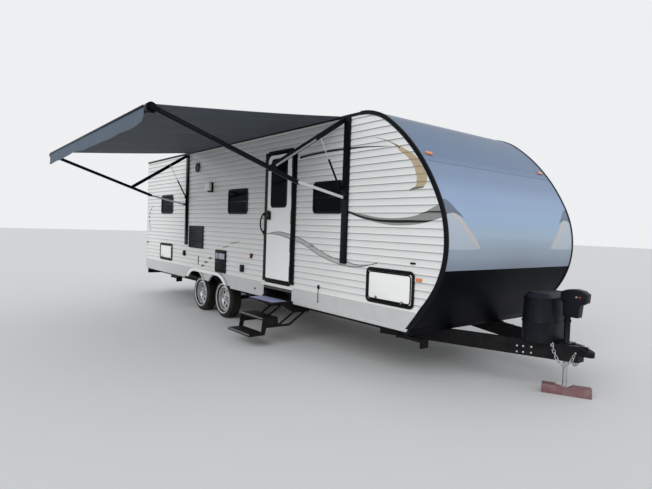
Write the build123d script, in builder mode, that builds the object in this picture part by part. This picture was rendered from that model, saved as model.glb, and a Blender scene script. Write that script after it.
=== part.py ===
from build123d import *
import os
from math import atan2, cos, degrees, hypot, radians, sin, sqrt, tan

# Travel caravan with tandem axles, standing parked on its wheels and tongue jack.
# Millimetres. +X forward to the hitch, +Y to the off side, +Z up.
# The origin is on the ground, on the centreline, under the pad of the tongue jack.
# The entry door, steps and awning are on the -Y side.

os.makedirs("parts", exist_ok=True)

RIGHT = -1
LEFT = 1
SEAT_GAP = 0.3

# Body shell
BODY_HALF = 1219.0
WALL = 40.0
REAR_X = -8820.0
ROOF_Z = 2884.0
ROOF_THICKNESS = 60.0
WALL_FOOT_Z = 768.0
SKIRT_FOOT_Z = 587.0
SKIRT_SHEET = 8.0
NOSE_X = -585.0
NOSE_SPLIT_Z = 1206.0
TRIM_WIDTH = 34.0
TRIM_PROUD = 5.0

# Nose outline from the roof downwards: radius of each arc, and its turn in degrees
NOSE_RADII = (782.0, 2150.0, 1065.0, 900.0)
NOSE_TURNS = (35.0, 30.0, 25.0, 38.5)

# Floor and wheel wells
FLOOR_THICKNESS = 78.0
WELL_HALF_LENGTH = 845.0
WELL_TYRE_GAP = 43.0
WELL_TOP_Z = 838.0
WELL_SHEET = 4.0

# Frame
RAIL_TYRE_GAP = 40.0
RAIL_WIDTH = 90.0
RAIL_HEIGHT = 254.0
RAIL_WEB = 8.0
RAIL_FLANGE = 10.0
RAIL_FRONT_X = -1260.0
RAIL_REAR_INSET = 20.0
CROSS_MEMBER_WIDTH = 50.0
OUTRIGGER_DEPTH = 90.0
TONGUE_TOP_Z = 510.0
TONGUE_HEIGHT = 160.0
TONGUE_RAIL_WIDTH = 56.0
TONGUE_REAR_X = -1850.0
TONGUE_FRONT_X = 130.0
TONGUE_FRONT_Y = 58.0
BUMPER_SIZE = 100.0
BUMPER_WALL = 6.0
BUMPER_CORNER = 8.0
BUMPER_INSET = 69.0

# Wheels and running gear
TYRE_RADIUS = 324.0
TYRE_WIDTH = 205.0
TYRE_SEAT_RADIUS = 190.5
TYRE_BEAD_INSET = 2.0
TYRE_BEAD_RISE = 3.0
TYRE_SHOULDER_INSET = 8.0
TYRE_SHOULDER = 32.0
WHEEL_INSET = 99.0
WHEEL_XS = (-5275.0, -6150.0)
RIM_FLANGE_RADIUS = 208.0
RIM_WIDTH = 140.0
RIM_SHEET = 7.0
RIM_SPOKES = 8
# Window between two spokes: foot and head radius, width at its foot and at its head
SPOKE_WINDOW = (96.0, 152.0, 24.0, 56.0)
DISC_INSET = 45.0
HUB_RADIUS = 42.0
HUB_INSET = 8.0
HUB_BACK_INSET = 4.0
SPINDLE_LENGTH = 60.0
SPINDLE_RADIUS = 22.0
DRUM_RADIUS = 128.0
DRUM_FACE_INSET = 10.0
AXLE_RADIUS = 30.0
SPRING_WIDTH = 45.0
SPRING_LEAF = 9.0
SPRING_HALF_SPAN = 325.0
SPRING_EYE_Z = 408.0
SPRING_HANGER_WIDTH = 30.0
ARCH_RADIUS = 418.0
ARCH_RIM = 34.0
ARCH_PROUD = 22.0
FENDER_END_MARGIN = 70.0

# Coupler and tongue jack
BALL_X = 205.0
BALL_RADIUS = 29.6
BALL_DEPTH = 42.0
COUPLER_FOOT_Z = 418.0
COUPLER_TOP_Z = 505.0
COUPLER_NOSE_RADIUS = 47.0
COUPLER_TOP_FALL = 17.0
# Latch on the coupler: x, length, width, top z
COUPLER_LATCH = (165.0, 60.0, 26.0, 512.0)
JACK_X = -20.0
JACK_TUBE_RADIUS = 28.5
JACK_TUBE_FOOT_Z = 345.0
JACK_HEAD_Z = 780.0
JACK_HEAD_HALF = 52.0
JACK_HEAD_CHAMFER = 8.0
JACK_PLATE = (96.0, 190.0, 9.0)
RAM_RADIUS = 22.5
RAM_TOP_Z = 500.0
PAD_HEIGHT = 90.0
PAD_LENGTH = 450.0
PAD_WIDTH = 116.0
PAD_TURN = 27.0
FOOT_THICKNESS = 10.0
FOOT_HALF = 65.0

# Gas bottle cover
COVER_REAR_X = -404.0
COVER_FRONT_X = -84.0
COVER_HALF = 285.0
COVER_CORNER = 150.0
COVER_SHEET = 5.0
# Layers of the cover: foot z, top z, insets of its outside and inside, taper in degrees
COVER_LAYERS = (
    (TONGUE_TOP_Z, 704.0, 7.0, 12.0, -2.0),
    (704.0, 716.0, -6.0, 5.0, 0.0),
    (716.0, 944.0, 0.0, 5.0, 3.0),
    (944.0, 956.0, 6.0, 17.0, 0.0),
    (956.0, 1000.0, 10.0, 17.0, 48.0),
)

# Outline of the jack's motor head: x from the tube, z above its foot
JACK_HEAD = (
    (-30.0, 0.0),
    (118.0, 0.0),
    (130.0, 120.0),
    (190.0, 155.0),
    (196.0, 238.0),
    (150.0, 268.0),
    (80.0, 280.0),
    (0.0, 270.0),
    (-62.0, 245.0),
    (-60.0, 165.0),
    (-36.0, 130.0),
)

# Windows on the two sides: x0, z0, x1, z1
REAR_PANE = (REAR_X + 865.0, 1750.0, REAR_X + 1501.0, 2125.0)
RIGHT_WINDOWS = (
    REAR_PANE,
    (-4970.0, 1741.0, -4335.0, 2135.0),
    (-2682.0, 1747.0, -2108.0, 2142.0),
)
LEFT_WINDOWS = (
    REAR_PANE,
    (-5650.0, 1600.0, -4350.0, 2200.0),
    (-2682.0, 1747.0, -2047.0, 2142.0),
)
REAR_WINDOW = (-380.0, 1750.0, 380.0, 2125.0)
WINDOW_CORNER = 62.0
FRAME_WIDTH = 26.0
FRAME_PROUD = 9.0
GLASS_THICKNESS = 5.0
WINDOW_BAR = 16.0
WINDOW_BAR_PROUD = 6.0

# Entry door: outer edge of its frame
DOOR_X0 = -3810.0
DOOR_X1 = -3093.0
DOOR_Z0 = 776.0
DOOR_Z1 = 2618.0
DOOR_CORNER = 85.0
DOOR_FRAME_WIDTH = 30.0
DOOR_THICKNESS = 38.0
DOOR_GAP = 8.0
DOOR_PROUD = 1.0
DOOR_WINDOW = (DOOR_X0 + 262.0, DOOR_Z0 + 976.0, DOOR_X1 - 155.0, DOOR_Z1 - 143.0)
DOOR_WINDOW_CORNER = 55.0
DOOR_KNUCKLES = 9
HINGE_BARREL = 6.0
HINGE_STRAP = 5.0
HINGE_STRAP_WIDTH = 26.0
HINGE_STAND_OFF = 7.0
# Latch: x, z, width, height, proud. Grab handle: x, foot and top z, radius, reach
DOOR_LATCH = (DOOR_X0 + 77.0, 1729.0, 72.0, 120.0, 20.0)
GRAB_HANDLE = (DOOR_X0 - 65.0, 1460.0, 1700.0, 12.0, 55.0)

# Lift-up doors: name, side, x0, z0, x1, z1 of the frame's outer edge
HATCHES = (
    ("baggage_door_right", RIGHT, NOSE_X - 1070.0, 790.0, NOSE_X - 375.0, 1170.0),
    ("baggage_door_left", LEFT, NOSE_X - 1070.0, 790.0, NOSE_X - 375.0, 1170.0),
    ("storage_door", RIGHT, REAR_X + 847.0, 810.0, REAR_X + 1517.0, 1152.0),
)
HATCH_CORNER = 60.0
HATCH_FRAME_WIDTH = 30.0
HATCH_KNUCKLES = 5
STRAP_MARGIN = 2.0

# Service panels set in the right wall: x0, z0, x1, z1, corner
FRIDGE_VENT = (-6481.0, 1132.0, -5878.0, 1526.0, 12.0)
HEATER_DOOR = (-5370.0, 800.0, -4994.0, 1148.0, 30.0)
PANEL_PROUD = 12.0
LOUVRE_COUNT = 9
LOUVRE_MARGIN = 20.0

# Small fittings on the right side: x, z, width, height, proud
SMALL_FITTINGS = (
    (-4443.0, 908.0, 90.0, 110.0, 26.0),
    (-4182.0, 1118.0, 55.0, 70.0, 18.0),
    (-6695.0, 1005.0, 90.0, 90.0, 20.0),
    (-6169.0, 2573.0, 150.0, 150.0, 18.0),
    (-5626.0, 2206.0, 130.0, 105.0, 60.0),
)

# Lamps: x0, z0, x1, z1 on the sides; y0, z0, y1, z1 on the back
LAMP_PROUD = 16.0
SIDE_MARKER_FRONT = (NOSE_X - 350.0, 1080.0, NOSE_X - 280.0, 1112.0)
SIDE_MARKER_REAR = (REAR_X + 30.0, 1108.0, REAR_X + 100.0, 1142.0)
TAIL_LAMP = (BODY_HALF - 259.0, 900.0, BODY_HALF - 79.0, 1010.0)
TAIL_LAMP_PROUD = 30.0
# Clearance lamps on the cap: y, slope of the cap there in degrees, width, height
CAP_LAMP = (1070.0, 50.3, 100.0, 40.0)
# Clearance lamps high on the back: places across, half width, foot and top z
BACK_LAMP_YS = (-1120.0, -180.0, 0.0, 180.0, 1120.0)
BACK_LAMP = (45.0, 2745.0, 2775.0)

# Roof fittings: x, y, length, width, height, corner, draft in degrees
ROOF_FITTINGS = (
    (-4700.0, 0.0, 980.0, 700.0, 290.0, 90.0, 12.0),
    (-2500.0, 0.0, 420.0, 420.0, 70.0, 30.0, 20.0),
    (-7100.0, 350.0, 420.0, 420.0, 70.0, 30.0, 20.0),
)

# Entry steps
STEP_X0 = DOOR_X0 + 45.0
STEP_X1 = DOOR_X1 - 62.0
STEP_DEPTH = 230.0
STEP_SHEET = 5.0
STEP_TREAD_HEIGHT = 28.0
TREAD_TOPS = (575.0, 375.0, 180.0)
TREAD_FRONTS = (-BODY_HALF - 261.0, -BODY_HALF - 391.0, -BODY_HALF - 581.0)
STEP_ARM_Y = 99.0 - BODY_HALF
STEP_ARM_Z = 430.0
STEP_ARM_RUN = -260.0
STEP_ARM_DROP = -170.0
STEP_ARM_SPACING = 185.0
STEP_ARM_WIDTH = 30.0
STEP_PIN_RADIUS = 6.0
STEP_LEG_WIDTH = 60.0

# Stabilizer legs under the four corners: name, x, side
STABILIZERS = (
    ("stabilizer_front_right", RAIL_FRONT_X - 240.0, RIGHT),
    ("stabilizer_front_left", RAIL_FRONT_X - 240.0, LEFT),
    ("stabilizer_rear_right", REAR_X + 570.0, RIGHT),
    ("stabilizer_rear_left", REAR_X + 570.0, LEFT),
)
LEG_LENGTH = 360.0
LEG_DROP = 39.0
LEG_WIDTH = 46.0
LEG_DEPTH = 38.0
LEG_EYE = 24.0
LEG_PIN_RADIUS = 8.0
# Foot plate: thickness, width, lower and upper edge from the leg's middle
LEG_FOOT = (8.0, 130.0, -75.0, 25.0)
BRACKET_SHEET = 6.0

# Awning: a folding pair of arms in the YZ plane at each post
AWNING_XS = (-2050.0, -6610.0)
POST_WIDTH = 104.0
POST_DEPTH = 18.0
POST_FOOT_Z = 1170.0
POST_TOP_Z = ROOF_Z - 36.0
RAFTER_PIVOT = (-BODY_HALF - 61.0, ROOF_Z - 77.0)
RAFTER_LENGTH = 1163.8
RAFTER_ANGLE = 213.54
ARM_ANGLE = 161.53
ARM_LENGTH = 1290.0
ARM_TAIL = 360.0
CLOSED_RAFTER_ANGLE = 270.0
CLOSED_ARM_ANGLE = 91.5
RAFTER_TUBE = (30.0, 52.0)
ARM_TUBE = (30.0, 44.0)
LINK_BAR = (12.0, 30.0)
AWNING_LAYER_GAP = 6.0
AWNING_PIN_RADIUS = 8.0
EAR_WIDTH = 44.0
EAR_SHEET = 6.0
PIN_CLEARANCE = 0.3
STRUT_TOP = 366.0
STRUT_FOOT_Z = 2050.0
STRUT_TUBE_RADIUS = 12.0
STRUT_ROD_RADIUS = 6.0
STRUT_TUBE_LENGTH = 345.0
STRUT_ROD_OVERLAP = 60.0
STRUT_EYE = 32.0
ROLLER_RADIUS = 42.0
ROLLER_HEAD = 60.0
ROLLER_HEAD_PROUD = 8.0
FABRIC_END_GAP = 6.0
FABRIC_RAIL_Z = ROOF_Z - 16.0
FABRIC_THICKNESS = 4.0
VALANCE_DROP = 225.0

# Derived heights and planes
FLOOR_FOOT_Z = WALL_FOOT_Z - FLOOR_THICKNESS
RAIL_TOP_Z = FLOOR_FOOT_Z
RAIL_FOOT_Z = RAIL_TOP_Z - RAIL_HEIGHT
ROOF_FOOT_Z = ROOF_Z - ROOF_THICKNESS
SKIRT_Y = BODY_HALF - SKIRT_SHEET
AXLE_Z = TYRE_RADIUS
WELL_X = (WHEEL_XS[0] + WHEEL_XS[1]) / 2
WHEEL_OUTER_Y = BODY_HALF - WHEEL_INSET
TYRE_Y = WHEEL_OUTER_Y - TYRE_WIDTH / 2
WELL_INNER_Y = WHEEL_OUTER_Y - TYRE_WIDTH - WELL_TYRE_GAP
RAIL_Y = WHEEL_OUTER_Y - TYRE_WIDTH - RAIL_TYRE_GAP - RAIL_WIDTH / 2
RAIL_REAR_X = REAR_X + RAIL_REAR_INSET
BUMPER_HALF = BODY_HALF - BUMPER_INSET

# Places of the cross members and outriggers along the rails
CROSS_MEMBER_XS = (
    REAR_X + 420.0,
    REAR_X + 1470.0,
    WELL_X - 1037.5,
    WELL_X,
    WELL_X + 1092.5,
    -3300.0,
    -2300.0,
    RAIL_FRONT_X - 190.0,
)
OUTRIGGER_XS = (REAR_X + 320.0, REAR_X + 1320.0, -6700.0, -4700.0, -3950.0, -2950.0, -2000.0)

NOSE_ARCS = tuple(zip(NOSE_RADII, NOSE_TURNS))


def nose_start_x():
    """Where the roof's level line starts to curve down, so that the nose ends at NOSE_X."""
    reach = 0.0
    heading = 0.0
    for radius, turn in NOSE_ARCS:
        if heading >= 90.0:
            break
        reach += radius * (sin(radians(heading + turn)) - sin(radians(heading)))
        heading += turn
    return NOSE_X - reach


CURVE_X = nose_start_x()


def nose_point(inset, slope=sum(NOSE_TURNS)):
    """Place where the outline set in by inset has turned down by slope, and its heading."""
    x = CURVE_X
    z = ROOF_Z
    heading = 0.0
    for radius, whole_turn in NOSE_ARCS:
        turn = max(0.0, min(whole_turn, slope - heading))
        centre_x = x - radius * sin(radians(heading))
        centre_z = z - radius * cos(radians(heading))
        heading += turn
        x = centre_x + radius * sin(radians(heading))
        z = centre_z + radius * cos(radians(heading))
    return x - inset * sin(radians(heading)), z - inset * cos(radians(heading)), heading


def nose_foot_x(inset, z):
    """X where the straight lower front, set in by inset, reaches height z."""
    x, foot_z, heading = nose_point(inset)
    return x - (foot_z - z) * tan(radians(heading - 90.0))


def nose_curve(inset):
    """Draw the arcs of the nose, set in by inset, from the roof down to the last arc's foot."""
    at = (CURVE_X, ROOF_Z - inset)
    heading = 0.0
    for radius, turn in NOSE_ARCS:
        tangent = (cos(radians(heading)), -sin(radians(heading)))
        arc = JernArc(start=at, tangent=tangent, radius=radius - inset, arc_size=-turn)
        at = arc @ 1
        heading += turn
    return at


def block(x0, x1, y0, y1, z0, z1, mode=Mode.ADD):
    """Add or cut a box given by its limits."""
    with Locations(((x0 + x1) / 2, (y0 + y1) / 2, (z0 + z1) / 2)):
        Box(abs(x1 - x0), abs(y1 - y0), abs(z1 - z0), mode=mode)


def rounded_panel(x0, z0, x1, z1, corner, y, inset=0.0):
    """A rounded rectangle on the plane at y, set in on every side by inset."""
    with BuildSketch(Plane.XZ.offset(-y)) as panel:
        with Locations(((x0 + x1) / 2, (z0 + z1) / 2)):
            RectangleRounded(x1 - x0 - 2 * inset, z1 - z0 - 2 * inset, corner - inset)
    return panel.sketch


def slab(sketch, y0, y1, mode=Mode.ADD):
    """Extrude a sketch that lies on the plane at y0 as far as the plane at y1."""
    extrude(sketch, amount=y0 - y1, mode=mode)


def finish(builder, name):
    """Label a finished piece and write its STEP file."""
    builder.part.label = name
    export_step(builder.part, "parts/" + name + ".step")


# Frame: two main rails
with BuildPart() as main_rails:
    for side in (RIGHT, LEFT):
        with BuildSketch(Plane.YZ.offset(RAIL_REAR_X)):
            with Locations((side * RAIL_Y, (RAIL_TOP_Z + RAIL_FOOT_Z) / 2)):
                Rectangle(RAIL_WIDTH, RAIL_HEIGHT)
            channel_depth = (RAIL_WIDTH - RAIL_WEB) / 2
            for offset_y in (-1, 1):
                centre_y = side * RAIL_Y + offset_y * (RAIL_WEB + channel_depth) / 2
                with Locations((centre_y, (RAIL_TOP_Z + RAIL_FOOT_Z) / 2)):
                    Rectangle(channel_depth, RAIL_HEIGHT - 2 * RAIL_FLANGE, mode=Mode.SUBTRACT)
        extrude(amount=RAIL_FRONT_X - RAIL_REAR_X)
finish(main_rails, "main_rails")

# Frame: cross members between the rails and outriggers out to the skirts
with BuildPart() as cross_members:
    rail_inner_y = RAIL_Y - RAIL_WIDTH / 2
    rail_outer_y = RAIL_Y + RAIL_WIDTH / 2
    for cross_x in CROSS_MEMBER_XS:
        block(
            cross_x - CROSS_MEMBER_WIDTH / 2,
            cross_x + CROSS_MEMBER_WIDTH / 2,
            -rail_inner_y,
            rail_inner_y,
            TONGUE_TOP_Z + SEAT_GAP,
            RAIL_TOP_Z,
        )
    for outrigger_x in OUTRIGGER_XS:
        for side in (RIGHT, LEFT):
            with BuildSketch(Plane.YZ.offset(outrigger_x - CROSS_MEMBER_WIDTH / 2)):
                with BuildLine():
                    Polyline(
                        (side * rail_outer_y, RAIL_TOP_Z),
                        (side * SKIRT_Y, RAIL_TOP_Z),
                        (side * SKIRT_Y, RAIL_TOP_Z - OUTRIGGER_DEPTH / 2),
                        (side * rail_outer_y, RAIL_TOP_Z - 2 * OUTRIGGER_DEPTH),
                        close=True,
                    )
                make_face()
            extrude(amount=CROSS_MEMBER_WIDTH)
finish(cross_members, "cross_members")

# Frame: the A-frame, its two rails converging on the coupler below the main rails
TONGUE_FOOT_Z = TONGUE_TOP_Z - TONGUE_HEIGHT
TONGUE_REAR_Y = RAIL_Y - RAIL_WIDTH / 2 - TONGUE_RAIL_WIDTH
with BuildPart() as a_frame:
    for side in (RIGHT, LEFT):
        with BuildSketch(Plane.XY.offset(TONGUE_FOOT_Z)):
            with BuildLine():
                Polyline(
                    (TONGUE_REAR_X, side * TONGUE_REAR_Y),
                    (TONGUE_REAR_X, side * (TONGUE_REAR_Y + TONGUE_RAIL_WIDTH)),
                    (TONGUE_FRONT_X, side * TONGUE_FRONT_Y),
                    (TONGUE_FRONT_X, side * (TONGUE_FRONT_Y - TONGUE_RAIL_WIDTH)),
                    close=True,
                )
            make_face()
        extrude(amount=TONGUE_HEIGHT)
finish(a_frame, "a_frame")

# Rear bumper: a square tube
with BuildPart() as bumper:
    with BuildSketch(Plane.XZ.offset(-BUMPER_HALF)):
        with Locations((RAIL_REAR_X - BUMPER_SIZE / 2, RAIL_FOOT_Z + BUMPER_SIZE / 2)):
            RectangleRounded(BUMPER_SIZE, BUMPER_SIZE, BUMPER_CORNER)
            RectangleRounded(
                BUMPER_SIZE - 2 * BUMPER_WALL,
                BUMPER_SIZE - 2 * BUMPER_WALL,
                BUMPER_CORNER - BUMPER_WALL,
                mode=Mode.SUBTRACT,
            )
    extrude(amount=2 * BUMPER_HALF)
finish(bumper, "bumper")

# Coupler: a pressed housing over the ball, falling to its nose, with its latch on top
with BuildPart() as coupler:
    with BuildSketch(Plane.XY.offset(COUPLER_FOOT_Z)):
        with BuildLine():
            Polyline(
                (TONGUE_FRONT_X + SEAT_GAP, TONGUE_FRONT_Y),
                (TONGUE_FRONT_X + SEAT_GAP, -TONGUE_FRONT_Y),
                (BALL_X, -COUPLER_NOSE_RADIUS),
                (BALL_X, COUPLER_NOSE_RADIUS),
                close=True,
            )
        make_face()
        with Locations((BALL_X, 0)):
            Circle(COUPLER_NOSE_RADIUS)
    extrude(amount=COUPLER_TOP_Z - COUPLER_FOOT_Z)
    slope = radians(COUPLER_TOP_FALL)
    top = Plane((TONGUE_FRONT_X, 0, COUPLER_TOP_Z), z_dir=(sin(slope), 0, cos(slope)))
    split(bisect_by=top, keep=Keep.BOTTOM)
    latch_x, latch_length, latch_width, latch_top_z = COUPLER_LATCH
    block(
        latch_x - latch_length / 2,
        latch_x + latch_length / 2,
        -latch_width / 2,
        latch_width / 2,
        COUPLER_FOOT_Z + BALL_DEPTH,
        latch_top_z,
    )
    with Locations(Plane((BALL_X, 0, COUPLER_FOOT_Z), z_dir=(0, 0, -1))):
        Hole(BALL_RADIUS, depth=BALL_DEPTH)
finish(coupler, "coupler")

# Tongue jack: motor head, outer tube and mounting plate across the A-frame
with BuildPart() as tongue_jack:
    with BuildSketch(Plane.XZ.offset(-JACK_HEAD_HALF)):
        with BuildLine():
            Polyline([(JACK_X + x, JACK_HEAD_Z + z) for x, z in JACK_HEAD], close=True)
        make_face()
    extrude(amount=2 * JACK_HEAD_HALF)
    chamfer(tongue_jack.faces().filter_by(Axis.Y).edges(), JACK_HEAD_CHAMFER)
    with Locations((JACK_X, 0, JACK_TUBE_FOOT_Z)):
        Cylinder(
            JACK_TUBE_RADIUS,
            JACK_HEAD_Z - JACK_TUBE_FOOT_Z,
            align=(Align.CENTER, Align.CENTER, Align.MIN),
        )
    with Locations((JACK_X, 0, TONGUE_TOP_Z)):
        Box(*JACK_PLATE, align=(Align.CENTER, Align.CENTER, Align.MIN))
    with Locations(Plane((JACK_X, 0, JACK_TUBE_FOOT_Z), z_dir=(0, 0, -1))):
        Hole(RAM_RADIUS + SEAT_GAP, depth=JACK_HEAD_Z - JACK_TUBE_FOOT_Z)
finish(tongue_jack, "tongue_jack")

with BuildPart() as jack_ram:
    with Locations((JACK_X, 0, PAD_HEIGHT)):
        Cylinder(RAM_RADIUS, RAM_TOP_Z - PAD_HEIGHT, align=(Align.CENTER, Align.CENTER, Align.MIN))
        Box(
            2 * FOOT_HALF,
            2 * FOOT_HALF,
            FOOT_THICKNESS,
            align=(Align.CENTER, Align.CENTER, Align.MIN),
        )
finish(jack_ram, "jack_ram")

with BuildPart(Plane.XY.rotated((0, 0, PAD_TURN))) as jack_pad:
    Box(PAD_LENGTH, PAD_WIDTH, PAD_HEIGHT, align=(Align.CENTER, Align.CENTER, Align.MIN))
finish(jack_pad, "jack_pad")

# Floor with the wheel wells raised through it
FLOOR_FRONT_X = nose_foot_x(WALL, FLOOR_FOOT_Z)
with BuildPart() as floor:
    block(REAR_X, FLOOR_FRONT_X, -SKIRT_Y, SKIRT_Y, FLOOR_FOOT_Z, WALL_FOOT_Z)
    for side in (RIGHT, LEFT):
        well_outer_y = BODY_HALF - WALL - SEAT_GAP
        block(
            WELL_X - WELL_HALF_LENGTH,
            WELL_X + WELL_HALF_LENGTH,
            side * WELL_INNER_Y,
            side * SKIRT_Y,
            FLOOR_FOOT_Z,
            WALL_FOOT_Z,
            mode=Mode.SUBTRACT,
        )
        block(
            WELL_X - WELL_HALF_LENGTH,
            WELL_X + WELL_HALF_LENGTH,
            side * WELL_INNER_Y,
            side * well_outer_y,
            FLOOR_FOOT_Z,
            WELL_TOP_Z,
        )
        block(
            WELL_X - WELL_HALF_LENGTH + WELL_SHEET,
            WELL_X + WELL_HALF_LENGTH - WELL_SHEET,
            side * (WELL_INNER_Y + WELL_SHEET),
            side * (well_outer_y - WELL_SHEET),
            FLOOR_FOOT_Z,
            WELL_TOP_Z - WELL_SHEET,
            mode=Mode.SUBTRACT,
        )
finish(floor, "floor")


def side_wall(side, windows):
    """One side wall, cut to the inside of the nose, with its window and door openings."""
    outer_y = side * BODY_HALF
    inner_y = side * (BODY_HALF - WALL)
    with BuildPart() as wall:
        with BuildSketch(Plane.XZ.offset(-outer_y)):
            with BuildLine():
                foot = nose_curve(WALL)
                nose_foot = (nose_foot_x(WALL, WALL_FOOT_Z), WALL_FOOT_Z)
                Line(foot, nose_foot)
                Polyline(
                    nose_foot,
                    (REAR_X + WALL, WALL_FOOT_Z),
                    (REAR_X + WALL, ROOF_Z - WALL),
                    (CURVE_X, ROOF_Z - WALL),
                )
            make_face()
        extrude(amount=outer_y - inner_y)
        block(
            REAR_X,
            CURVE_X,
            outer_y,
            inner_y,
            ROOF_FOOT_Z,
            ROOF_Z,
            mode=Mode.SUBTRACT,
        )
        for x0, z0, x1, z1 in windows:
            opening = rounded_panel(x0, z0, x1, z1, WINDOW_CORNER, outer_y, FRAME_WIDTH / 2)
            slab(opening, outer_y, inner_y, mode=Mode.SUBTRACT)
        for _, hatch_side, x0, z0, x1, z1 in HATCHES:
            if hatch_side == side:
                inset = HATCH_FRAME_WIDTH / 2
                opening = rounded_panel(x0, z0, x1, z1, HATCH_CORNER, outer_y, inset)
                slab(opening, outer_y, inner_y, mode=Mode.SUBTRACT)
        if side == RIGHT:
            inset = DOOR_FRAME_WIDTH / 2
            opening = rounded_panel(
                DOOR_X0, DOOR_Z0, DOOR_X1, DOOR_Z1, DOOR_CORNER, outer_y, inset
            )
            slab(opening, outer_y, inner_y, mode=Mode.SUBTRACT)
            for x0, z0, x1, z1, corner in (FRIDGE_VENT, HEATER_DOOR):
                opening = rounded_panel(x0, z0, x1, z1, corner, outer_y)
                slab(opening, outer_y, inner_y, mode=Mode.SUBTRACT)
    return wall


wall_right = side_wall(RIGHT, RIGHT_WINDOWS)
finish(wall_right, "wall_right")
wall_left = side_wall(LEFT, LEFT_WINDOWS)
finish(wall_left, "wall_left")

with BuildPart() as wall_rear:
    block(REAR_X, REAR_X + WALL, -BODY_HALF, BODY_HALF, WALL_FOOT_Z, ROOF_FOOT_Z)
    with BuildSketch(Plane.YZ.offset(REAR_X)):
        y0, z0, y1, z1 = REAR_WINDOW
        with Locations(((y0 + y1) / 2, (z0 + z1) / 2)):
            RectangleRounded(
                y1 - y0 - FRAME_WIDTH, z1 - z0 - FRAME_WIDTH, WINDOW_CORNER - FRAME_WIDTH / 2
            )
    extrude(amount=WALL, mode=Mode.SUBTRACT)
finish(wall_rear, "wall_rear")

with BuildPart() as roof:
    block(REAR_X, CURVE_X, -BODY_HALF, BODY_HALF, ROOF_FOOT_Z, ROOF_Z)
finish(roof, "roof")


def nose_shell(z0, z1):
    """The curved front between two heights, as thick as the walls."""
    with BuildPart() as shell:
        with BuildSketch(Plane.XZ.offset(-BODY_HALF)):
            with BuildLine():
                outer_foot = nose_curve(0)
                Line(outer_foot, (nose_foot_x(0, SKIRT_FOOT_Z), SKIRT_FOOT_Z))
                Line(
                    (nose_foot_x(0, SKIRT_FOOT_Z), SKIRT_FOOT_Z),
                    (nose_foot_x(WALL, SKIRT_FOOT_Z), SKIRT_FOOT_Z),
                )
                inner_foot = nose_curve(WALL)
                Line((nose_foot_x(WALL, SKIRT_FOOT_Z), SKIRT_FOOT_Z), inner_foot)
                Line((CURVE_X, ROOF_Z - WALL), (CURVE_X, ROOF_Z))
            make_face()
        extrude(amount=2 * BODY_HALF)
        split(bisect_by=Plane.XY.offset(z0), keep=Keep.TOP)
        split(bisect_by=Plane.XY.offset(z1), keep=Keep.BOTTOM)
    return shell


nose_cap = nose_shell(NOSE_SPLIT_Z, ROOF_Z)
finish(nose_cap, "nose_cap")
nose_lower = nose_shell(SKIRT_FOOT_Z, NOSE_SPLIT_Z)
finish(nose_lower, "nose_lower")

# Skirts: a sheet below the walls, open at the fenders and under the entry door
ARCH_HALF = sqrt(ARCH_RADIUS**2 - (SKIRT_FOOT_Z - AXLE_Z) ** 2)
FENDER_X0 = WHEEL_XS[1] - ARCH_HALF - FENDER_END_MARGIN
FENDER_X1 = WHEEL_XS[0] + ARCH_HALF + FENDER_END_MARGIN
SKIRT_FRONT_X = nose_foot_x(WALL, SKIRT_FOOT_Z)
with BuildPart() as skirts:
    for side, spans in (
        (RIGHT, ((REAR_X, FENDER_X0), (FENDER_X1, DOOR_X0), (DOOR_X1, SKIRT_FRONT_X))),
        (LEFT, ((REAR_X, FENDER_X0), (FENDER_X1, SKIRT_FRONT_X))),
    ):
        for x0, x1 in spans:
            block(x0, x1, side * SKIRT_Y, side * BODY_HALF, SKIRT_FOOT_Z, WALL_FOOT_Z)
    block(
        REAR_X - SKIRT_SHEET,
        REAR_X - SEAT_GAP,
        -BODY_HALF,
        BODY_HALF,
        SKIRT_FOOT_Z + SKIRT_SHEET,
        WALL_FOOT_Z,
    )
finish(skirts, "skirts")

# Fenders: a double arch on each side with a raised rim
with BuildPart() as fenders:
    for side in (RIGHT, LEFT):
        face_y = side * BODY_HALF
        rim_y = side * (BODY_HALF + ARCH_PROUD)
        block(FENDER_X0, FENDER_X1, side * SKIRT_Y, face_y, SKIRT_FOOT_Z, WALL_FOOT_Z)
        with BuildSketch(Plane.XZ.offset(-face_y)):
            with Locations(*[(x, AXLE_Z) for x in WHEEL_XS]):
                Circle(ARCH_RADIUS + ARCH_RIM)
            with Locations((WELL_X, (SKIRT_FOOT_Z + WALL_FOOT_Z) / 2)):
                Rectangle(
                    FENDER_X1 - FENDER_X0, WALL_FOOT_Z - SKIRT_FOOT_Z, mode=Mode.INTERSECT
                )
        extrude(amount=face_y - rim_y)
        with BuildSketch(Plane.XZ.offset(-rim_y)):
            with Locations(*[(x, AXLE_Z) for x in WHEEL_XS]):
                Circle(ARCH_RADIUS)
        extrude(amount=rim_y - side * SKIRT_Y, mode=Mode.SUBTRACT)
finish(fenders, "fenders")

# Edge trim: a band along the roof line and down the nose on both sides
with BuildPart() as edge_trim:
    for side in (RIGHT, LEFT):
        face_y = side * BODY_HALF
        with BuildSketch(Plane.XZ.offset(-face_y)):
            with BuildLine():
                outer_foot = nose_curve(0)
                outer_end = (nose_foot_x(0, SKIRT_FOOT_Z), SKIRT_FOOT_Z)
                inner_end = (nose_foot_x(TRIM_WIDTH, SKIRT_FOOT_Z), SKIRT_FOOT_Z)
                Line(outer_foot, outer_end)
                Line(outer_end, inner_end)
                inner_foot = nose_curve(TRIM_WIDTH)
                Line(inner_end, inner_foot)
                Polyline(
                    (CURVE_X, ROOF_Z - TRIM_WIDTH),
                    (REAR_X, ROOF_Z - TRIM_WIDTH),
                    (REAR_X, ROOF_Z),
                    (CURVE_X, ROOF_Z),
                )
            make_face()
        extrude(amount=face_y - side * (BODY_HALF + TRIM_PROUD))
finish(edge_trim, "edge_trim")

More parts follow.
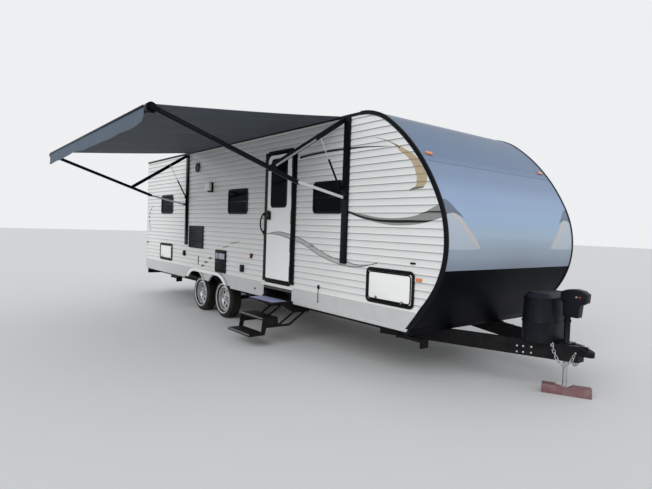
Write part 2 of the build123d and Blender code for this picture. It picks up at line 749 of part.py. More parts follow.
# Window frames and glass
with BuildPart() as window_frames:
    for side, windows in ((RIGHT, RIGHT_WINDOWS), (LEFT, LEFT_WINDOWS)):
        face_y = side * BODY_HALF
        front_y = side * (BODY_HALF + FRAME_PROUD)
        for x0, z0, x1, z1 in windows:
            slab(rounded_panel(x0, z0, x1, z1, WINDOW_CORNER, face_y), face_y, front_y)
            hole = rounded_panel(x0, z0, x1, z1, WINDOW_CORNER, face_y, FRAME_WIDTH)
            slab(hole, face_y, front_y, mode=Mode.SUBTRACT)
            block(
                x0 + FRAME_WIDTH / 2,
                x1 - FRAME_WIDTH / 2,
                face_y,
                face_y + side * WINDOW_BAR_PROUD,
                (z0 + z1 - WINDOW_BAR) / 2,
                (z0 + z1 + WINDOW_BAR) / 2,
            )
    y0, z0, y1, z1 = REAR_WINDOW
    with BuildSketch(Plane.YZ.offset(REAR_X)):
        with Locations(((y0 + y1) / 2, (z0 + z1) / 2)):
            RectangleRounded(y1 - y0, z1 - z0, WINDOW_CORNER)
            RectangleRounded(
                y1 - y0 - 2 * FRAME_WIDTH,
                z1 - z0 - 2 * FRAME_WIDTH,
                WINDOW_CORNER - FRAME_WIDTH,
                mode=Mode.SUBTRACT,
            )
    extrude(amount=-FRAME_PROUD)
finish(window_frames, "window_frames")

with BuildPart() as window_glass:
    glass_inset = FRAME_WIDTH / 2 + SEAT_GAP
    for side, windows in ((RIGHT, RIGHT_WINDOWS), (LEFT, LEFT_WINDOWS)):
        face_y = side * BODY_HALF
        for x0, z0, x1, z1 in windows:
            pane = rounded_panel(x0, z0, x1, z1, WINDOW_CORNER, face_y, glass_inset)
            slab(pane, face_y, side * (BODY_HALF - GLASS_THICKNESS))
    y0, z0, y1, z1 = REAR_WINDOW
    with BuildSketch(Plane.YZ.offset(REAR_X)):
        with Locations(((y0 + y1) / 2, (z0 + z1) / 2)):
            RectangleRounded(
                y1 - y0 - 2 * glass_inset, z1 - z0 - 2 * glass_inset, WINDOW_CORNER - glass_inset
            )
    extrude(amount=GLASS_THICKNESS)
finish(window_glass, "window_glass")

# Frames of the entry door and of the lift-up doors, with their half of the hinges
DOOR_FACE_Y = -BODY_HALF - FRAME_PROUD - DOOR_PROUD
DOOR_HINGE_X = DOOR_X1 - DOOR_FRAME_WIDTH / 2
DOOR_HINGE_Y = DOOR_FACE_Y - HINGE_STAND_OFF
DOOR_HINGE_Z = (DOOR_Z0 + DOOR_CORNER, DOOR_Z1 - DOOR_CORNER)


def knuckle_spans(start, end, count, first):
    """Every second length of a hinge barrel, with a running gap between neighbours."""
    pitch = (end - start) / count
    spans = []
    for index in range(first, count, 2):
        low = start + index * pitch
        spans.append((low + SEAT_GAP / 2, low + pitch - SEAT_GAP / 2))
    return spans


def door_knuckles(first, strap_x):
    """Upright hinge barrels of the entry door, strapped to one side."""
    back_y = DOOR_FACE_Y if first == 0 else DOOR_FACE_Y + DOOR_PROUD
    for z0, z1 in knuckle_spans(*DOOR_HINGE_Z, DOOR_KNUCKLES, first):
        with Locations((DOOR_HINGE_X, DOOR_HINGE_Y, (z0 + z1) / 2)):
            Cylinder(HINGE_BARREL, z1 - z0)
        block(DOOR_HINGE_X, strap_x, back_y, DOOR_FACE_Y - HINGE_STRAP, z0, z1)


def hatch_hinge(side, z1):
    """Y and Z of a lift-up door's hinge axis."""
    return side * (BODY_HALF + FRAME_PROUD + DOOR_PROUD + HINGE_STAND_OFF), z1 - HATCH_FRAME_WIDTH / 2


def hatch_knuckles(side, x0, x1, z1, first, strap_z):
    """Level hinge barrels of a lift-up door, strapped upwards or downwards."""
    hinge_y, hinge_z = hatch_hinge(side, z1)
    face_y = side * (BODY_HALF + FRAME_PROUD + DOOR_PROUD)
    back_y = face_y if first == 0 else face_y - side * DOOR_PROUD
    ends = (x0 + HATCH_CORNER, x1 - HATCH_CORNER)
    for low, high in knuckle_spans(*ends, HATCH_KNUCKLES, first):
        with Locations(Location(((low + high) / 2, hinge_y, hinge_z), (0, 90, 0))):
            Cylinder(HINGE_BARREL, high - low)
        block(low, high, back_y, face_y + side * HINGE_STRAP, hinge_z, strap_z)


with BuildPart() as door_frames:
    back_y = -BODY_HALF
    front_y = -BODY_HALF - FRAME_PROUD
    ring = rounded_panel(DOOR_X0, DOOR_Z0, DOOR_X1, DOOR_Z1, DOOR_CORNER, back_y)
    slab(ring, back_y, front_y)
    hole = rounded_panel(DOOR_X0, DOOR_Z0, DOOR_X1, DOOR_Z1, DOOR_CORNER, back_y, DOOR_FRAME_WIDTH)
    slab(hole, back_y, front_y, mode=Mode.SUBTRACT)
    door_knuckles(1, DOOR_X1 - STRAP_MARGIN)
    for _, side, x0, z0, x1, z1 in HATCHES:
        back_y = side * BODY_HALF
        front_y = side * (BODY_HALF + FRAME_PROUD)
        slab(rounded_panel(x0, z0, x1, z1, HATCH_CORNER, back_y), back_y, front_y)
        hole = rounded_panel(x0, z0, x1, z1, HATCH_CORNER, back_y, HATCH_FRAME_WIDTH)
        slab(hole, back_y, front_y, mode=Mode.SUBTRACT)
        hatch_knuckles(side, x0, x1, z1, 1, z1 - STRAP_MARGIN)
finish(door_frames, "door_frames")

# Entry door: hinged at its front edge, with its window cut and its latch
with BuildPart() as entry_door:
    inset = DOOR_FRAME_WIDTH + DOOR_GAP
    leaf = rounded_panel(DOOR_X0, DOOR_Z0, DOOR_X1, DOOR_Z1, DOOR_CORNER, DOOR_FACE_Y, inset)
    slab(leaf, DOOR_FACE_Y, DOOR_FACE_Y + DOOR_THICKNESS)
    x0, z0, x1, z1 = DOOR_WINDOW
    hole = rounded_panel(x0, z0, x1, z1, DOOR_WINDOW_CORNER, DOOR_FACE_Y)
    slab(hole, DOOR_FACE_Y, DOOR_FACE_Y + DOOR_THICKNESS, mode=Mode.SUBTRACT)
    door_knuckles(0, DOOR_X1 - inset - HINGE_STRAP_WIDTH)
    latch_x, latch_z, latch_width, latch_height, latch_proud = DOOR_LATCH
    with BuildSketch(Plane.XZ.offset(-DOOR_FACE_Y)):
        with Locations((latch_x, latch_z)):
            RectangleRounded(latch_width, latch_height, latch_width / 5)
    extrude(amount=latch_proud)
finish(entry_door, "entry_door")

with BuildPart() as door_glass:
    pane = rounded_panel(x0, z0, x1, z1, DOOR_WINDOW_CORNER, DOOR_FACE_Y, SEAT_GAP)
    slab(pane, DOOR_FACE_Y, DOOR_FACE_Y + GLASS_THICKNESS)
finish(door_glass, "door_glass")


def hatch_door(side, x0, z0, x1, z1):
    """A lift-up door, just proud of its frame, with its half of the hinge."""
    front_y = side * (BODY_HALF + FRAME_PROUD + DOOR_PROUD)
    back_y = front_y - side * DOOR_THICKNESS
    inset = HATCH_FRAME_WIDTH + DOOR_GAP
    with BuildPart() as door:
        slab(rounded_panel(x0, z0, x1, z1, HATCH_CORNER, front_y, inset), front_y, back_y)
        hatch_knuckles(side, x0, x1, z1, 0, z1 - inset - HINGE_STRAP_WIDTH)
    return door


for hatch_name, side, x0, z0, x1, z1 in HATCHES:
    finish(hatch_door(side, x0, z0, x1, z1), hatch_name)

# Side fittings: fridge vent, water heater door, grab handle and small housings
with BuildPart() as side_fittings:
    back_y = -BODY_HALF + WALL
    front_y = -BODY_HALF - PANEL_PROUD
    for x0, z0, x1, z1, corner in (FRIDGE_VENT, HEATER_DOOR):
        slab(rounded_panel(x0, z0, x1, z1, corner, back_y, SEAT_GAP), back_y, front_y)
    x0, z0, x1, z1, corner = FRIDGE_VENT
    pitch = (z1 - z0 - 2 * LOUVRE_MARGIN) / LOUVRE_COUNT
    for row in range(LOUVRE_COUNT):
        slot_z = z0 + LOUVRE_MARGIN + pitch * row
        block(
            x0 + LOUVRE_MARGIN,
            x1 - LOUVRE_MARGIN,
            front_y,
            front_y + PANEL_PROUD,
            slot_z,
            slot_z + pitch / 2,
            mode=Mode.SUBTRACT,
        )
    for x, z, width, height, proud in SMALL_FITTINGS:
        with BuildSketch(Plane.XZ.offset(BODY_HALF)):
            with Locations((x, z)):
                RectangleRounded(width, height, min(width, height) / 5)
        extrude(amount=proud)
    handle_x, handle_z0, handle_z1, handle_radius, handle_reach = GRAB_HANDLE
    handle_y = -BODY_HALF - handle_reach
    with Locations((handle_x, handle_y, (handle_z0 + handle_z1) / 2)):
        Cylinder(handle_radius, handle_z1 - handle_z0)
    for end_z in (handle_z0 + handle_radius, handle_z1 - handle_radius):
        with BuildSketch(Plane.XZ.offset(-handle_y)):
            with Locations((handle_x, end_z)):
                Circle(handle_radius)
        extrude(amount=handle_y + BODY_HALF)
finish(side_fittings, "side_fittings")

# Running gear: axle tubes with their spindles, and leaf springs under the rails
with BuildPart() as axles:
    for axle_x in WHEEL_XS:
        with BuildSketch(Plane.XZ.offset(-(TYRE_Y - RIM_WIDTH / 2))):
            with Locations((axle_x, AXLE_Z)):
                Circle(AXLE_RADIUS)
        extrude(amount=2 * (TYRE_Y - RIM_WIDTH / 2))
        for side in (RIGHT, LEFT):
            with BuildSketch(Plane.XZ.offset(-side * (TYRE_Y - RIM_WIDTH / 2))):
                with Locations((axle_x, AXLE_Z)):
                    Circle(SPINDLE_RADIUS)
            extrude(amount=-side * SPINDLE_LENGTH)
finish(axles, "axles")

with BuildPart() as leaf_springs:
    for side in (RIGHT, LEFT):
        for axle_x in WHEEL_XS:
            with BuildSketch(Plane.XZ.offset(-side * RAIL_Y - SPRING_WIDTH / 2)):
                with BuildLine():
                    seat_z = AXLE_Z + AXLE_RADIUS + SEAT_GAP
                    eye_x0 = axle_x - SPRING_HALF_SPAN
                    eye_x1 = axle_x + SPRING_HALF_SPAN
                    lower = ThreePointArc(
                        (eye_x0, SPRING_EYE_Z), (axle_x, seat_z), (eye_x1, SPRING_EYE_Z)
                    )
                    upper = ThreePointArc(
                        (eye_x0, SPRING_EYE_Z + 2 * SPRING_LEAF),
                        (axle_x, seat_z + 2 * SPRING_LEAF),
                        (eye_x1, SPRING_EYE_Z + 2 * SPRING_LEAF),
                    )
                    Line(lower @ 0, upper @ 0)
                    Line(lower @ 1, upper @ 1)
                make_face()
            extrude(amount=SPRING_WIDTH)
            for eye_x in (eye_x0, eye_x1):
                block(
                    eye_x - SPRING_HANGER_WIDTH / 2,
                    eye_x + SPRING_HANGER_WIDTH / 2,
                    side * RAIL_Y - SPRING_WIDTH / 2,
                    side * RAIL_Y + SPRING_WIDTH / 2,
                    SPRING_EYE_Z,
                    RAIL_FOOT_Z,
                )
finish(leaf_springs, "leaf_springs")


def tyre(wheel_x, side):
    """A road tyre, revolved about its axle."""
    with BuildPart() as piece:
        with BuildSketch(Plane.XY.offset(AXLE_Z)):
            with BuildLine():
                bead = RIM_WIDTH / 2 - TYRE_BEAD_INSET
                half = TYRE_WIDTH / 2
                points = (
                    (bead, TYRE_SEAT_RADIUS),
                    (bead, RIM_FLANGE_RADIUS + TYRE_BEAD_RISE),
                    (half, (TYRE_SEAT_RADIUS + TYRE_RADIUS) / 2),
                    (half - TYRE_SHOULDER_INSET, TYRE_RADIUS - TYRE_SHOULDER),
                    (half - TYRE_SHOULDER, TYRE_RADIUS),
                )
                outer = [(wheel_x + r, side * TYRE_Y + y) for y, r in points]
                inner = [(wheel_x + r, side * TYRE_Y - y) for y, r in reversed(points)]
                Polyline(outer + inner, close=True)
            make_face()
        revolve(axis=Axis((wheel_x, 0, AXLE_Z), (0, 1, 0)))
    return piece


def rim(wheel_x, side):
    """A spoked wheel with its hub and brake drum."""
    with BuildPart() as piece:
        seat = TYRE_SEAT_RADIUS - SEAT_GAP
        with BuildSketch(Plane.XY.offset(AXLE_Z)):
            with BuildLine():
                half = RIM_WIDTH / 2
                points = (
                    (-half, seat),
                    (-half, RIM_FLANGE_RADIUS),
                    (-half - RIM_SHEET, RIM_FLANGE_RADIUS),
                    (-half - RIM_SHEET, seat - RIM_SHEET),
                    (half + RIM_SHEET, seat - RIM_SHEET),
                    (half + RIM_SHEET, RIM_FLANGE_RADIUS),
                    (half, RIM_FLANGE_RADIUS),
                    (half, seat),
                )
                Polyline([(wheel_x + r, side * TYRE_Y + y) for y, r in points], close=True)
            make_face()
        revolve(axis=Axis((wheel_x, 0, AXLE_Z), (0, 1, 0)))
        disc_y = side * (TYRE_Y + RIM_WIDTH / 2 - DISC_INSET)
        window_foot, window_head, foot_width, head_width = SPOKE_WINDOW
        with BuildSketch(Plane.XZ.offset(-disc_y)):
            with Locations((wheel_x, AXLE_Z)):
                Circle(seat - RIM_SHEET / 2)
                with PolarLocations((window_foot + window_head) / 2, RIM_SPOKES):
                    Polygon(
                        ((window_foot - window_head) / 2, -foot_width / 2),
                        ((window_head - window_foot) / 2, -head_width / 2),
                        ((window_head - window_foot) / 2, head_width / 2),
                        ((window_foot - window_head) / 2, foot_width / 2),
                        mode=Mode.SUBTRACT,
                    )
        extrude(amount=side * RIM_SHEET)
        hub_back_y = side * (TYRE_Y - RIM_WIDTH / 2 + HUB_BACK_INSET)
        with BuildSketch(Plane.XZ.offset(-hub_back_y)):
            with Locations((wheel_x, AXLE_Z)):
                Circle(HUB_RADIUS)
        extrude(amount=hub_back_y - side * (TYRE_Y + RIM_WIDTH / 2 - HUB_INSET))
        with BuildSketch(Plane.XZ.offset(-hub_back_y)):
            with Locations((wheel_x, AXLE_Z)):
                Circle(DRUM_RADIUS)
        extrude(amount=hub_back_y - side * (TYRE_Y - DRUM_FACE_INSET))
        with BuildSketch(Plane.XZ.offset(-hub_back_y)):
            with Locations((wheel_x, AXLE_Z)):
                Circle(SPINDLE_RADIUS + SEAT_GAP)
        extrude(amount=hub_back_y - disc_y, mode=Mode.SUBTRACT)
    return piece


for wheel_x, end in zip(WHEEL_XS, ("front", "rear")):
    for side, side_name in ((RIGHT, "right"), (LEFT, "left")):
        finish(tyre(wheel_x, side), "tyre_" + end + "_" + side_name)
        finish(rim(wheel_x, side), "rim_" + end + "_" + side_name)


LEG_PIVOT_Z = RAIL_FOOT_Z - LEG_DROP


def stabilizer(pivot_x, side):
    """A swing-down leg, stowed level under the main rail with its foot plate upright."""
    plate, plate_width, plate_low, plate_high = LEG_FOOT
    with BuildPart() as leg:
        with BuildSketch(Plane.XZ.offset(-side * RAIL_Y - LEG_WIDTH / 2)):
            with Locations((pivot_x, LEG_PIVOT_Z)):
                Circle(LEG_EYE)
            with Locations((pivot_x + LEG_LENGTH / 2, LEG_PIVOT_Z)):
                Rectangle(LEG_LENGTH, LEG_DEPTH)
            with Locations((pivot_x, LEG_PIVOT_Z)):
                Circle(LEG_PIN_RADIUS + PIN_CLEARANCE, mode=Mode.SUBTRACT)
        extrude(amount=LEG_WIDTH)
        block(
            pivot_x + LEG_LENGTH,
            pivot_x + LEG_LENGTH + plate,
            side * RAIL_Y - plate_width / 2,
            side * RAIL_Y + plate_width / 2,
            LEG_PIVOT_Z + plate_low,
            LEG_PIVOT_Z + plate_high,
        )
    return leg


for leg_name, pivot_x, side in STABILIZERS:
    finish(stabilizer(pivot_x, side), leg_name)

# Brackets of the stabilizer legs, under the rails
with BuildPart() as stabilizer_brackets:
    for _, pivot_x, side in STABILIZERS:
        middle_y = side * RAIL_Y
        for ear in (-1, 1):
            ear_y = middle_y + ear * (LEG_WIDTH / 2 + SEAT_GAP)
            block(
                pivot_x - LEG_EYE,
                pivot_x + LEG_EYE,
                ear_y,
                ear_y + ear * BRACKET_SHEET,
                LEG_PIVOT_Z - LEG_EYE,
                RAIL_FOOT_Z,
            )
        block(
            pivot_x - LEG_EYE,
            pivot_x + LEG_EYE,
            middle_y - LEG_WIDTH / 2 - BRACKET_SHEET,
            middle_y + LEG_WIDTH / 2 + BRACKET_SHEET,
            RAIL_FOOT_Z - BRACKET_SHEET,
            RAIL_FOOT_Z,
        )
        with BuildSketch(Plane.XZ.offset(-middle_y - LEG_WIDTH / 2 - BRACKET_SHEET)):
            with Locations((pivot_x, LEG_PIVOT_Z)):
                Circle(LEG_PIN_RADIUS)
        extrude(amount=LEG_WIDTH + 2 * BRACKET_SHEET)
finish(stabilizer_brackets, "stabilizer_brackets")

# Entry steps: a fixed top tread in its housing, two lower treads on parallel arms
STEP_FOLD_Y = STEP_ARM_Y + STEP_ARM_SPACING
STEP_PIN_FOOT = (STEP_ARM_Y + STEP_ARM_RUN, STEP_ARM_Z + STEP_ARM_DROP)
STEP_SIDES = ((STEP_X0, 1), (STEP_X1, -1))
with BuildPart() as step_housing:
    block(
        STEP_X0,
        STEP_X1,
        -RAIL_Y - RAIL_WIDTH / 2,
        TREAD_FRONTS[0],
        TREAD_TOPS[0] - STEP_TREAD_HEIGHT,
        TREAD_TOPS[0],
    )
    for edge_x, inward in STEP_SIDES:
        with BuildSketch(Plane.YZ.offset(edge_x)):
            with BuildLine():
                Polyline(
                    (-RAIL_Y - RAIL_WIDTH / 2, RAIL_TOP_Z),
                    (-RAIL_Y - RAIL_WIDTH / 2, STEP_ARM_Z - STEP_ARM_WIDTH / 2),
                    (STEP_ARM_Y - STEP_ARM_WIDTH / 2, STEP_ARM_Z - STEP_ARM_WIDTH / 2),
                    (TREAD_FRONTS[0] + STEP_DEPTH / 2, TREAD_TOPS[0] - STEP_TREAD_HEIGHT),
                    (TREAD_FRONTS[0], TREAD_TOPS[0] - STEP_TREAD_HEIGHT),
                    (TREAD_FRONTS[0], TREAD_TOPS[0]),
                    (-SKIRT_Y, TREAD_TOPS[0]),
                    (-SKIRT_Y, RAIL_TOP_Z),
                    close=True,
                )
            make_face()
        extrude(amount=inward * STEP_SHEET)
        with BuildSketch(Plane.YZ.offset(edge_x + inward * STEP_SHEET / 2)):
            with Locations((STEP_ARM_Y, STEP_ARM_Z), (STEP_FOLD_Y, STEP_ARM_Z)):
                Circle(STEP_PIN_RADIUS)
        extrude(amount=inward * (STEP_SHEET * 1.5 + SEAT_GAP))
finish(step_housing, "step_housing")


def step_arms(top_y, foot_pin):
    """A pair of flat arms hanging from the housing's pins, one at each side."""
    top = (top_y, STEP_ARM_Z)
    foot = (top_y + STEP_ARM_RUN, STEP_ARM_Z + STEP_ARM_DROP)
    with BuildPart() as arms:
        for edge_x, inward in STEP_SIDES:
            start_x = edge_x + inward * (STEP_SHEET + SEAT_GAP)
            with BuildSketch(Plane.YZ.offset(start_x)):
                with Locations(top, foot):
                    Circle(STEP_ARM_WIDTH / 2)
                make_hull()
                with Locations(top):
                    Circle(STEP_PIN_RADIUS + PIN_CLEARANCE, mode=Mode.SUBTRACT)
                if foot_pin:
                    with Locations(foot):
                        Circle(STEP_PIN_RADIUS + PIN_CLEARANCE, mode=Mode.SUBTRACT)
            extrude(amount=inward * STEP_SHEET)
    return arms


finish(step_arms(STEP_ARM_Y, True), "step_outer_arms")
finish(step_arms(STEP_FOLD_Y, False), "step_inner_arms")

STEP_UNIT_INSET = 2 * STEP_SHEET + 2 * SEAT_GAP
with BuildPart() as step_treads:
    for top_z, front_y in zip(TREAD_TOPS[1:], TREAD_FRONTS[1:]):
        block(
            STEP_X0 + STEP_UNIT_INSET,
            STEP_X1 - STEP_UNIT_INSET,
            front_y,
            front_y + STEP_DEPTH,
            top_z - STEP_TREAD_HEIGHT,
            top_z,
        )
    for edge_x, inward in STEP_SIDES:
        plate_x = edge_x + inward * STEP_UNIT_INSET
        plate_back_y = STEP_FOLD_Y + STEP_ARM_RUN + STEP_ARM_WIDTH / 2
        plate_front_y = TREAD_FRONTS[1]
        plate_foot_z = STEP_PIN_FOOT[1] - STEP_ARM_WIDTH / 2
        plate_top_z = STEP_PIN_FOOT[1] + STEP_ARM_WIDTH / 2
        leg_back_y = TREAD_FRONTS[2] + STEP_DEPTH
        with BuildSketch(Plane.YZ.offset(plate_x)):
            with BuildLine():
                Polyline(
                    (plate_back_y, plate_top_z),
                    (plate_back_y, plate_foot_z),
                    (plate_front_y + STEP_LEG_WIDTH, plate_foot_z),
                    (leg_back_y, TREAD_TOPS[2] - STEP_TREAD_HEIGHT),
                    (leg_back_y - STEP_LEG_WIDTH, TREAD_TOPS[2] - STEP_TREAD_HEIGHT),
                    (leg_back_y - STEP_LEG_WIDTH, TREAD_TOPS[2]),
                    (plate_front_y, TREAD_TOPS[1] - STEP_TREAD_HEIGHT),
                    (plate_front_y, TREAD_TOPS[1]),
                    (STEP_PIN_FOOT[0], TREAD_TOPS[1]),
                    (STEP_PIN_FOOT[0] + STEP_ARM_WIDTH / 2, plate_top_z),
                    close=True,
                )
            make_face()
        extrude(amount=inward * STEP_SHEET)
        with BuildSketch(Plane.YZ.offset(plate_x + inward * STEP_SHEET / 2)):
            with Locations(STEP_PIN_FOOT):
                Circle(STEP_PIN_RADIUS)
        extrude(amount=-inward * (STEP_SHEET * 1.5 + SEAT_GAP))
finish(step_treads, "step_treads")

# Awning geometry: points are (y, z) in the plane of the arms


def along(point, angle, distance):
    """The point at a distance from another, at an angle in the YZ plane."""
    return (
        point[0] + distance * cos(radians(angle)),
        point[1] + distance * sin(radians(angle)),
    )


ELBOW = along(RAFTER_PIVOT, RAFTER_ANGLE, RAFTER_LENGTH)
TAIL = along(ELBOW, ARM_ANGLE, -ARM_TAIL)
ROLLER = along(ELBOW, ARM_ANGLE, ARM_LENGTH)
CLOSED_ELBOW = along(RAFTER_PIVOT, CLOSED_RAFTER_ANGLE, RAFTER_LENGTH)
CLOSED_TAIL = along(CLOSED_ELBOW, CLOSED_ARM_ANGLE, -ARM_TAIL)
LINK_PIVOT_Y = RAFTER_PIVOT[0]


def link_pivot_z():
    """Height on the post that is equally far from the arm's tail, open and closed."""
    open_y = TAIL[0] - LINK_PIVOT_Y
    closed_y = CLOSED_TAIL[0] - LINK_PIVOT_Y
    squares = open_y**2 + TAIL[1] ** 2 - closed_y**2 - CLOSED_TAIL[1] ** 2
    return squares / (2 * (TAIL[1] - CLOSED_TAIL[1]))


LINK_PIVOT = (LINK_PIVOT_Y, link_pivot_z())
STRUT_HEAD = along(RAFTER_PIVOT, RAFTER_ANGLE, STRUT_TOP)
STRUT_FOOT = (RAFTER_PIVOT[0], STRUT_FOOT_Z)

# Places of the awning's layers along X, outwards from each post's inner side
RAFTER_LAYER = (-40.0, -40.0 + RAFTER_TUBE[0])
ARM_LAYER = (RAFTER_LAYER[1] + AWNING_LAYER_GAP, RAFTER_LAYER[1] + AWNING_LAYER_GAP + ARM_TUBE[0])
LINK_LAYER = (ARM_LAYER[1] + AWNING_LAYER_GAP, ARM_LAYER[1] + AWNING_LAYER_GAP + LINK_BAR[0])
EAR_LAYER = (RAFTER_LAYER[0] - SEAT_GAP - EAR_SHEET, RAFTER_LAYER[0] - SEAT_GAP)
LINK_EAR_LAYER = (LINK_LAYER[1] + SEAT_GAP, LINK_LAYER[1] + SEAT_GAP + EAR_SHEET)
STRUT_LAYER_X = EAR_LAYER[0] - SEAT_GAP - STRUT_TUBE_RADIUS


def layer_plane(post_x, facing, layer):
    """The plane that a layer starts on, and the length that it is extruded by."""
    start, end = (post_x + facing * edge for edge in layer)
    return Plane.YZ.offset(start), end - start


def bar_outline(a, b, width):
    """A bar with round ends between two points."""
    middle = ((a[0] + b[0]) / 2, (a[1] + b[1]) / 2)
    angle = degrees(atan2(b[1] - a[1], b[0] - a[0]))
    with BuildSketch() as bar:
        with Locations(Location(middle, angle)):
            SlotCenterToCenter(hypot(b[0] - a[0], b[1] - a[1]), width)
    return bar.sketch


AWNING_SIDES = tuple(zip(AWNING_XS, (1, -1)))

POST_BACK_Y = -BODY_HALF - TRIM_PROUD - SEAT_GAP
POST_FACE_Y = POST_BACK_Y - POST_DEPTH
# Ears that carry the pins: ear layer, pivot, far end of the pin
POST_EARS = (
    (EAR_LAYER, RAFTER_PIVOT, RAFTER_LAYER[1]),
    (LINK_EAR_LAYER, LINK_PIVOT, LINK_LAYER[0]),
    (EAR_LAYER, STRUT_FOOT, STRUT_LAYER_X - STRUT_TUBE_RADIUS),
)
with BuildPart() as awning_posts:
    for post_x, facing in AWNING_SIDES:
        block(
            post_x - POST_WIDTH / 2,
            post_x + POST_WIDTH / 2,
            POST_BACK_Y,
            POST_FACE_Y,
            POST_FOOT_Z,
            POST_TOP_Z,
        )
        for layer, pivot, pin_end in POST_EARS:
            plane, length = layer_plane(post_x, facing, layer)
            ear_root_y = POST_FACE_Y + POST_DEPTH / 2
            with BuildSketch(plane):
                with Locations(((ear_root_y + pivot[0]) / 2, pivot[1])):
                    Rectangle(ear_root_y - pivot[0], EAR_WIDTH)
                with Locations(pivot):
                    Circle(EAR_WIDTH / 2)
            extrude(amount=length)
            plane, length = layer_plane(post_x, facing, (sum(layer) / 2, pin_end))
            with BuildSketch(plane):
                with Locations(pivot):
                    Circle(AWNING_PIN_RADIUS)
            extrude(amount=length)
finish(awning_posts, "awning_posts")

with BuildPart() as awning_rafters:
    for post_x, facing in AWNING_SIDES:
        plane, length = layer_plane(post_x, facing, RAFTER_LAYER)
        with BuildSketch(plane):
            add(bar_outline(RAFTER_PIVOT, ELBOW, RAFTER_TUBE[1]))
            with Locations(RAFTER_PIVOT):
                Circle(AWNING_PIN_RADIUS + PIN_CLEARANCE, mode=Mode.SUBTRACT)
        extrude(amount=length)
        plane, length = layer_plane(post_x, facing, (RAFTER_LAYER[1], ARM_LAYER[1]))
        with BuildSketch(plane):
            with Locations(ELBOW):
                Circle(AWNING_PIN_RADIUS)
        extrude(amount=length)
finish(awning_rafters, "awning_rafters")

with BuildPart() as awning_arms:
    for post_x, facing in AWNING_SIDES:
        plane, length = layer_plane(post_x, facing, ARM_LAYER)
        with BuildSketch(plane):
            add(bar_outline(TAIL, ROLLER, ARM_TUBE[1]))
            with Locations(ELBOW):
                Circle(AWNING_PIN_RADIUS + PIN_CLEARANCE, mode=Mode.SUBTRACT)
        extrude(amount=length)
finish(awning_arms, "awning_arms")

with BuildPart() as awning_links:
    for post_x, facing in AWNING_SIDES:
        plane, length = layer_plane(post_x, facing, LINK_LAYER)
        with BuildSketch(plane):
            add(bar_outline(LINK_PIVOT, TAIL, LINK_BAR[1]))
            with Locations(LINK_PIVOT):
                Circle(AWNING_PIN_RADIUS + PIN_CLEARANCE, mode=Mode.SUBTRACT)
        extrude(amount=length)
finish(awning_links, "awning_links")

STRUT_ANGLE = degrees(atan2(STRUT_HEAD[1] - STRUT_FOOT[1], STRUT_HEAD[0] - STRUT_FOOT[0]))
STRUT_LENGTH = hypot(STRUT_HEAD[0] - STRUT_FOOT[0], STRUT_HEAD[1] - STRUT_FOOT[1])


def strut_plane(post_x, facing, distance):
    """A plane square to the gas strut, at a distance from its foot."""
    centre = along(STRUT_FOOT, STRUT_ANGLE, distance)
    origin = (post_x + facing * STRUT_LAYER_X, centre[0], centre[1])
    direction = (0, cos(radians(STRUT_ANGLE)), sin(radians(STRUT_ANGLE)))
    return Plane(origin=origin, x_dir=(1, 0, 0), z_dir=direction)


with BuildPart() as awning_struts:
    for post_x, facing in AWNING_SIDES:
        with BuildSketch(strut_plane(post_x, facing, 0)):
            Circle(STRUT_TUBE_RADIUS)
        extrude(amount=STRUT_TUBE_LENGTH)
        with BuildSketch(strut_plane(post_x, facing, STRUT_EYE)):
            Circle(STRUT_ROD_RADIUS + SEAT_GAP)
        extrude(amount=STRUT_TUBE_LENGTH, mode=Mode.SUBTRACT)
        eye_x = post_x + facing * (STRUT_LAYER_X - STRUT_TUBE_RADIUS)
        with BuildSketch(Plane.YZ.offset(eye_x)):
            with Locations(STRUT_FOOT):
                Circle(STRUT_EYE / 2)
        extrude(amount=facing * 2 * STRUT_TUBE_RADIUS)
        with BuildSketch(Plane.YZ.offset(eye_x)):
            with Locations(STRUT_FOOT):
                Circle(AWNING_PIN_RADIUS + PIN_CLEARANCE)
        extrude(amount=facing * 2 * STRUT_TUBE_RADIUS, mode=Mode.SUBTRACT)
finish(awning_struts, "awning_struts")

with BuildPart() as awning_strut_rods:
    for post_x, facing in AWNING_SIDES:
        rod_start = STRUT_TUBE_LENGTH - STRUT_ROD_OVERLAP
        with BuildSketch(strut_plane(post_x, facing, rod_start)):
            Circle(STRUT_ROD_RADIUS)
        extrude(amount=STRUT_LENGTH - rod_start)
        with BuildSketch(Plane.YZ.offset(post_x + facing * (STRUT_LAYER_X - STRUT_TUBE_RADIUS))):
            with Locations(STRUT_HEAD):
                Circle(STRUT_TUBE_RADIUS)
        extrude(amount=facing * 2 * STRUT_TUBE_RADIUS)
finish(awning_strut_rods, "awning_strut_rods")

ROLLER_X1 = AWNING_XS[0] + ARM_LAYER[0]
ROLLER_X0 = AWNING_XS[1] - ARM_LAYER[0]
with BuildPart() as awning_roller:
    with BuildSketch(Plane.YZ.offset(ROLLER_X0)):
        with Locations(ROLLER):
            Circle(ROLLER_RADIUS)
    extrude(amount=ROLLER_X1 - ROLLER_X0)
    for start, length in ((ROLLER_X0, ROLLER_HEAD), (ROLLER_X1, -ROLLER_HEAD)):
        with BuildSketch(Plane.YZ.offset(start)):
            with Locations(ROLLER):
                Circle(ROLLER_RADIUS + ROLLER_HEAD_PROUD)
        extrude(amount=length)
finish(awning_roller, "awning_roller")

